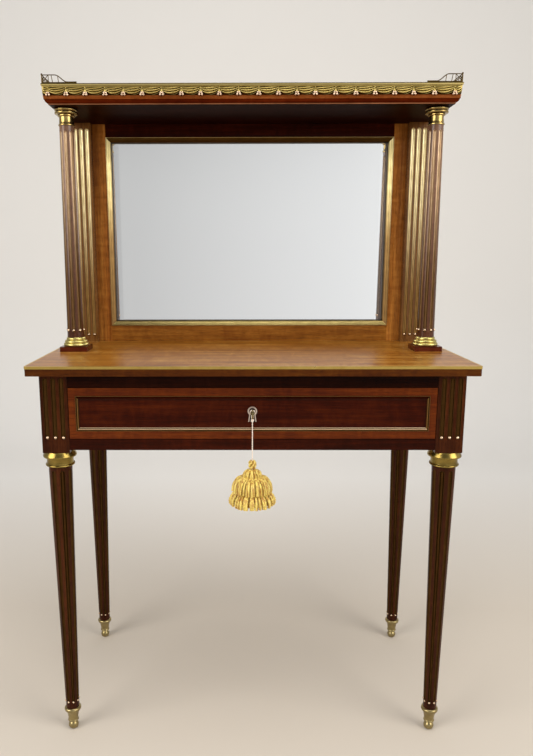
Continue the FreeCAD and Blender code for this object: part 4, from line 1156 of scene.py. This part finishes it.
for side, x in (("left", -pilaster_middle), ("right", pilaster_middle)):
    post_shape = moved(merged(wood_parts), x, pilaster_y)
    piece = sew(new_piece("pilaster_" + side + "_fluted", *post_shape, pilaster_wood))
    finish_piece(piece, "table", 30)
    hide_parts("pilaster_" + side)
    all_brass.append(moved(merged(brass_parts), x, pilaster_y))
    tip_y = pilaster_y - pilaster_half_y + tip_inset
    for aside in (-pilaster_pitch, 0.0, pilaster_pitch):
        tips.append(((x + aside, tip_y, pilaster_tip_height), pilaster_tip_radius))
pilaster_channels = sew(
    new_piece("pilaster_flute_channels", *merged(all_brass), pilaster_channel)
)
finish_piece(pilaster_channels, "table", 35)
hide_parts("pilaster_flute_brass")
tip_beads("pilaster_flute_tips", tips)

# French-polished mahogany, faded by daylight: a lively orange brown, duller on the rail.
frame_upright = grained_wood(
    "polished_mahogany_frame_upright", "Z", ("6E3A10", "965A22", "C08038")
)
frame_across = grained_wood(
    "polished_mahogany_frame_across", "X", ("6A3810", "84501A", "9C6628"), gloss=0.12
)
# Planed oak again, with its grain upright.
upright_oak = grained_wood("planed_oak_upright", "Z", oak_tones, 0.62)
# Rolled brass: brown low down, pale gold where more light reaches it.
frame_brass = aged_brass(
    "rolled_brass_moulding", ("8A6C40", "6C5232"), 0.36,
    [(higher_up(0.96, 1.13), ("CFC08E", "AE9C66"))],
)
# Lacquered brass in the shade of the shelf: a dull brown gold.
shaded_brass = aged_brass("lacquered_brass_moulding", ("5A4420", "3E2C12"), 0.36)
# Drawn brass, bright on its face; on the shelf's strip, the side that looks up is dark.
strip_brass = aged_brass(
    "shelf_brass_strip", ("CDB878", "A08A50"), 0.3,
    [(higher_up(1.2570, 1.2576), ("4A3C20", "382C16"))],
)
coat(frame_upright, "mirror_stile_left", "mirror_stile_right")
coat(frame_across, "mirror_rail_bottom")
# The frame's top rail takes the near black wood, not the orange frame wood: painted shade under the
# shelf.
coat(wood_across, "mirror_rail_top")
coat(upright_oak, "mirror_backboard")
framed(
    "mirror_moulding_beads",
    "mirror_moulding",
    (
        (0.0, 12.0, 0), (0.1, 13.6, 0), (0.4, 14.7, 0), (0.9, 15.2, 0), (1.4, 14.9, 0),
        (1.7, 14.2, 1), (1.9, 13.9, 2), (3.5, 13.2, 2), (5.4, 12.1, 1), (5.6, 11.4, 1),
        (5.9, 11.8, 2), (7.6, 10.7, 2), (9.3, 9.3, 2), (10.3, 8.3, 2), (10.5, 7.6, 1),
        (11.0, 6.0, 1), (11.6, 3.0, 1), (12.0, 0.1, 1),
    ),
    (frame_brass, dull_brass, frame_brass, shaded_brass, strip_brass),
    "table",
    # The top side's slopes take the dull brown brass, painted shade under the shelf; the bottom
    # side's outer bead and slopes take the bright strip brass, a painted highlight.
    side_marks=(((2, 2), 3), ((0, 2), 4), ((0, 0), 4)),
)

# Plate glass, silvered at its back: a clear, faintly cool reflection.
silver, tree, _ = new_material("silvered_plate_glass")
silver_shader = add_node(
    tree, "ShaderNodeBsdfPrincipled",
    {"Base Color": linear("F2F4F5"), "Metallic": 0.85, "Roughness": 0.02},
)
add_node(tree, "ShaderNodeOutputMaterial", {"Surface": silver_shader})
glass_low, glass_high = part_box("mirror_glass")
flat_half_width = 0.2885
bevel_width, bevel_height = glass_high.x - flat_half_width, 0.0205
bevel_slope = math.radians(2.5)
bevel_depth = bevel_width * math.tan(bevel_slope)
glass_points = []
for inset, rise, y in (
    (0.0, 0.0, glass_high.y),
    (0.0, 0.0, glass_low.y + bevel_depth),
    (bevel_width, bevel_height, glass_low.y),
):
    left, right_edge = glass_low.x + inset, glass_high.x - inset
    foot, head = glass_low.z + rise, glass_high.z - rise
    glass_points += [(left, y, foot), (right_edge, y, foot), (right_edge, y, head), (left, y, head)]
glass_faces = [(8, 9, 10, 11), (3, 2, 1, 0)]
for near in (0, 4):
    for k in range(4):
        after = (k + 1) % 4
        glass_faces.append((near + k, near + after, near + after + 4, near + k + 4))
plate = new_piece("mirror_plate_bevelled", glass_points, glass_faces, silver)
finish_piece(plate, "table", 1.0)
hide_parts("mirror_glass")

# The shelf and its mounts: a mahogany board with a moulded edge, on the columns and the
# pilasters. Cast swags with double-bead drops are pinned to its face under a brass strip,
# and a pierced gallery of brass wire stands on three sides and round both front corners.

# French-polished mahogany, red brown on its face, in bands of painted light and shade: a red edge
# darkened as painted shade, a pale line under it as a painted highlight, near black beneath as
# painted shade, and a dark band behind the swags as painted shadow.
shelf_painted_light_bands = []
for foot, head, tones in (
    (1.2000, 1.2228, ("160300", "220801", "300F03")),
    (1.2228, 1.2247, ("6A3E26", "8A5A3C", "A66E4C")),
    (1.2247, 1.2312, ("3C0E02", "521802", "66240A")),
    (1.2376, 1.2560, ("1E0C02", "2C1404", "3C1E08")),
):
    shelf_painted_light_bands.append((in_box((-0.5, -0.5, foot), (0.5, 0.5, head)), tones))
shelf_wood = grained_wood(
    "polished_mahogany_shelf", "X", ("522810", "743C18", "8E522A"), 0.4, 0.012, shelf_painted_light_bands
)
coat(shelf_wood, "shelf_board")
coat(strip_brass, "shelf_brass_strip")

shelf_face_x, shelf_face_y = 0.3912, -0.0432
swag_top = 1.2545
swag_count, side_swag_count = 21, 6
front_half = 0.38
side_first_y, side_last_y = -0.030, 0.1872
pin_gap = 0.0002
swag_pitch = 2 * front_half / swag_count
swag_half = swag_pitch / 2 - pin_gap
swag_head, swag_foot, swag_dip = -0.0019, -0.0085, 0.0080
fold_height, fold_gain = 0.0016, 0.0012
folds, fold_lean = 3.3, 0.35


def proud_mask(tree, place):
    """0 in the hollows of a mount on the shelf's face, 1 on what stands out of them."""
    apart = add_node(tree, "ShaderNodeSeparateXYZ", {0: place}).outputs
    outwards = add_node(tree, "ShaderNodeMath", {0: apart["X"]}, operation="ABSOLUTE")
    aside, ahead = (
        add_node(tree, "ShaderNodeMath", {0: far, 1: near}, operation="SUBTRACT")
        for far, near in ((outwards, shelf_face_x), (shelf_face_y, apart["Y"]))
    )
    proud = add_node(tree, "ShaderNodeMath", {0: aside, 1: ahead}, operation="MAXIMUM")
    return add_node(
        tree, "ShaderNodeMapRange", {"Value": proud, "From Min": 0.0009, "From Max": 0.0022},
        interpolation_type="SMOOTHSTEP",
    )


# Brass beads painted pale as a highlight: pale, almost pink drops.
drop_brass = aged_brass("brass_drop_painted_highlight", ("E8D2BC", "C4A88C"), 0.3)
# Chased brass, gilt: yellow folds with dark hollows between them.
swag_brass = aged_brass(
    "chased_gilt_brass", ("4A3A16", "33260C"), 0.3, [(proud_mask, ("E2CC80", "B09A52"))]
)


def swag_parts():
    """Cloth that sags between two pins under a rod, in folds that fan out from each pin."""
    columns = []
    for i in range(31):
        u = -1 + 2 * i / 30
        sag = 1 - abs(u) ** 2.2
        foot = swag_foot - swag_dip * sag
        column = []
        for j in range(41):
            v = j / 40
            swell = math.sin(math.pi * (0.04 + 0.92 * v)) ** 0.35
            curl = abs(math.sin(math.pi * (folds * v + fold_lean * u))) ** 0.8
            out = swell * (0.0003 + (fold_height + fold_gain * sag) * curl)
            column.append((swag_half * u, swag_head + (foot - swag_head) * v, out))
        columns.append(column)
    return [strip(columns, lambda across, height, out: Vector((across, -out, height)))]


def drop_parts():
    """Two short tails that hang side by side under each pin."""
    parts = [bead(Vector((0.0, -0.0006, -0.0036)), 0.0015)]
    for lean in (-1, 1):
        tail = [
            Vector((0.0, -0.0002, -0.0040)),
            Vector((lean * 0.0010, -0.0006, -0.0076)),
            Vector((lean * 0.0016, -0.0012, -0.0112)),
        ]
        parts.append(tube(tail, lambda share: 0.0010 + 0.0004 * share, 8))
    return parts


def drop_bead_parts():
    """The cast beads that the tails end in, an upper and a lower one on each."""
    return [
        bead(Vector((lean * wide, -0.0022, -down)), size)
        for lean in (-1, 1)
        for wide, down, size in ((0.0018, 0.0126, 0.0021), (0.0026, 0.0160, 0.0023))
    ]


def row_tree():
    """Copies of one piece in a straight row, a step apart."""
    tree, given = pattern_tree("pieces_in_a_row", [("Count", "Int"), ("Step", "Vector")])
    line = add_node(
        tree, "GeometryNodeMeshLine", {"Count": given["Count"], "Offset": given["Step"]}
    )
    copies = add_node(
        tree, "GeometryNodeInstanceOnPoints", {"Points": line, "Instance": given["Geometry"]}
    )
    real = add_node(tree, "GeometryNodeRealizeInstances", {0: copies})
    coated = add_node(
        tree, "GeometryNodeSetMaterial", {"Geometry": real, "Material": given["Finish"]}
    )
    add_node(tree, "NodeGroupOutput", {0: coated})
    return tree


in_a_row = row_tree()
pin_shifts = (
    -2.2, -4.1, -4.8, -3.2, -5.4, -6.3, -6.0, -4.8, -5.2, -6.3, -6.5,
    -4.7, -4.3, -5.8, -7.8, -6.1, -4.3, -4.8, -4.7, -5.2, -2.6, -0.4,
)


def pinned_by_hand(spot):
    """Moves a point of the front row with the two pins beside it, given one by one, not by rule."""
    along = min(swag_count - 0.001, max(0.0, (spot.x + front_half) / swag_pitch))
    k = int(along)
    shift = pin_shifts[k] + (pin_shifts[k + 1] - pin_shifts[k]) * (along - k)
    return Vector((spot.x + shift / 1000, spot.y, spot.z))


def rows_of(kinds, finish):
    """The rows on the shelf's front, its two sides and round its two front corners."""
    parts = []
    for some_parts, count, step, (x, y), turn in kinds:
        row = new_piece("mounts_in_a_row", *merged(some_parts))
        grow(row, in_a_row, count=count, step=(step, 0.0, 0.0), finish=finish)
        row.data.transform(Matrix.Rotation(math.radians(turn), 4, "Z"))
        row.data.transform(Matrix.Translation((x, y, swag_top)))
        points, faces = shape_of(row)
        if turn == 0 and count > 1:
            points = [pinned_by_hand(spot) for spot in points]
        parts.append((points, faces))
    return parts


def along_the_face(some_parts, extra):
    """A row on the front and one on each side; extra is 1 for what hangs under the pins."""
    half_step = 0.0 if extra else swag_pitch / 2
    front, side = swag_count + extra, side_swag_count + extra
    return [
        (some_parts, front, swag_pitch, (-front_half + half_step, shelf_face_y), 0),
        (some_parts, side, swag_pitch, (shelf_face_x, side_first_y + half_step), 90),
        (some_parts, side, swag_pitch, (-shelf_face_x, side_last_y - half_step), -90),
    ]


narrow = Matrix.Diagonal((0.34, 1.0, 1.0))
corner_swag = [([narrow @ v for v in points], faces) for points, faces in swag_parts()]
corner_front_x, corner_side_y = 0.3862, -0.0366
corners = [
    (corner_swag, 1, 0.0, place, turn)
    for place, turn in (
        ((-corner_front_x, shelf_face_y), 0), ((corner_front_x, shelf_face_y), 0),
        ((-shelf_face_x, corner_side_y), -90), ((shelf_face_x, corner_side_y), 90),
    )
]
swag_rows = rows_of(
    along_the_face(swag_parts(), 0) + corners + along_the_face(drop_parts(), 1), swag_brass
)


def wire(points, radius, sides=8):
    """A round wire through points."""
    return tube([Vector(p) for p in points], lambda share: radius, sides)


rod_x, rod_y, rod_z = shelf_face_x + 0.0012, shelf_face_y - 0.0012, swag_top - 0.0010
rod_back_y = 0.1885
rod_radius = 0.0011
for sign in (-1, 1):
    corner_line = [
        Vector((sign * shelf_face_x, shelf_face_y, swag_top - 0.0004 - 0.0135 * k / 12))
        for k in range(13)
    ]
    swag_rows.append(tube(corner_line, lambda share: 0.0012 + 0.0010 * (1 - share), 10))
    side_rod = [(sign * rod_x, y, rod_z) for y in (rod_y, rod_back_y)]
    swag_rows.append(wire(side_rod, rod_radius, 10))
swag_rows.append(wire([(x, rod_y, rod_z) for x in (-rod_x, rod_x)], rod_radius, 10))
swags = new_piece("swag_garland", *merged(swag_rows), swag_brass)
finish_piece(swags, "table", 60)
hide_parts("swag_frieze")
bead_rows = rows_of(along_the_face(drop_bead_parts(), 1), drop_brass)
drop_beads = new_piece("swag_drop_beads", *merged(bead_rows), drop_brass)
finish_piece(drop_beads, "table", 60)

# Cast and drawn brass, never cleaned: dark lines against the wall, with a dull glint.
gallery_brass = aged_brass("darkened_cast_brass", ("604E2A", "3C2E16"), 0.36)
gallery_x, gallery_front_y, gallery_back_y = 0.3922, -0.0442, 0.1902
gallery_foot, gallery_head, gallery_tail = 1.2599, 1.2735, 1.2612
gallery_pitch, crossed_bay = 0.011, 0.0123
level_run, ramp_run, tail_run = 0.025, 0.022, 0.018
return_run = level_run + ramp_run + tail_run
ramp_steps = 12
foot_radius, head_radius, post_radius = 0.0012, 0.0009, 0.0011
upright_radius, crossed_radius = 0.0007, 0.0006
knob_radius, knob_rise = 0.0017, 0.0012
stays = ((0.0202, 0.0025), (0.0310, 0.0010))
side_balusters, back_balusters = 19, 68


def rail_height(reach):
    """Height of a front return's top rail at a reach from its corner: flat, S, tail."""
    t = min(1.0, max(0.0, (reach - level_run) / ramp_run))
    return gallery_head + (gallery_tail - gallery_head) * t * t * (3 - 2 * t)


def crossed(x, y, dx, dy):
    """The crossed bay next to a corner, and the upright that ends it."""
    far = (x + dx, y + dy)
    return [
        wire([(x, y, gallery_foot), (*far, gallery_head)], crossed_radius),
        wire([(x, y, gallery_head), (*far, gallery_foot)], crossed_radius),
        wire([(*far, gallery_foot), (*far, gallery_head)], upright_radius),
    ]


gallery_parts = []
for height, radius in ((gallery_foot, foot_radius), (gallery_head, head_radius)):
    for x in (-gallery_x, gallery_x):
        side_rail = [(x, y, height) for y in (gallery_front_y, gallery_back_y)]
        gallery_parts.append(wire(side_rail, radius))
    back_rail = [(x, gallery_back_y, height) for x in (-gallery_x, gallery_x)]
    gallery_parts.append(wire(back_rail, radius))
reaches = [0.0, level_run * 0.5]
reaches += [level_run + ramp_run * k / ramp_steps for k in range(ramp_steps + 1)]
reaches.append(return_run)
for sign in (-1, 1):
    edge = sign * gallery_x
    top_rail = [(edge - sign * r, gallery_front_y, rail_height(r)) for r in reaches]
    gallery_parts.append(wire(top_rail, head_radius))
    foot_rail = [(edge - sign * r, gallery_front_y, gallery_foot) for r in (0.0, return_run)]
    gallery_parts.append(wire(foot_rail, foot_radius))
    for reach, lean in stays:
        x = edge - sign * reach
        stay = [
            (x, gallery_front_y, gallery_foot),
            (x + sign * lean, gallery_front_y, rail_height(reach - lean)),
        ]
        gallery_parts.append(wire(stay, upright_radius))
    for y, along, bay in (
        (gallery_front_y, gallery_pitch, crossed_bay),
        (gallery_back_y, -gallery_pitch, gallery_pitch),
    ):
        gallery_parts += crossed(edge, y, 0, along) + crossed(edge, y, -sign * bay, 0)
        gallery_parts.append(
            wire([(edge, y, gallery_foot), (edge, y, gallery_head)], post_radius)
        )
        gallery_parts.append(bead(Vector((edge, y, gallery_head + knob_rise)), knob_radius))
baluster = tube(
    [Vector((0, 0, gallery_foot + (gallery_head - gallery_foot) * k / 10)) for k in range(11)],
    lambda share: 0.0006 + 0.0004 * math.sin(math.pi * share) ** 2,
    8,
)
first_x, first_y = -gallery_x + 2 * gallery_pitch, gallery_front_y + 2 * gallery_pitch
for count, step, place in (
    (side_balusters, (0.0, gallery_pitch, 0.0), (-gallery_x, first_y)),
    (side_balusters, (0.0, gallery_pitch, 0.0), (gallery_x, first_y)),
    (back_balusters, (gallery_pitch, 0.0, 0.0), (first_x, gallery_back_y)),
):
    row = new_piece("balusters", *baluster)
    grow(row, in_a_row, count=count, step=step, finish=gallery_brass)
    gallery_parts.append(moved(shape_of(row), *place))
gallery = new_piece("pierced_gallery", *merged(gallery_parts), gallery_brass)
finish_piece(gallery, "table", 60)
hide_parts("shelf_gallery")
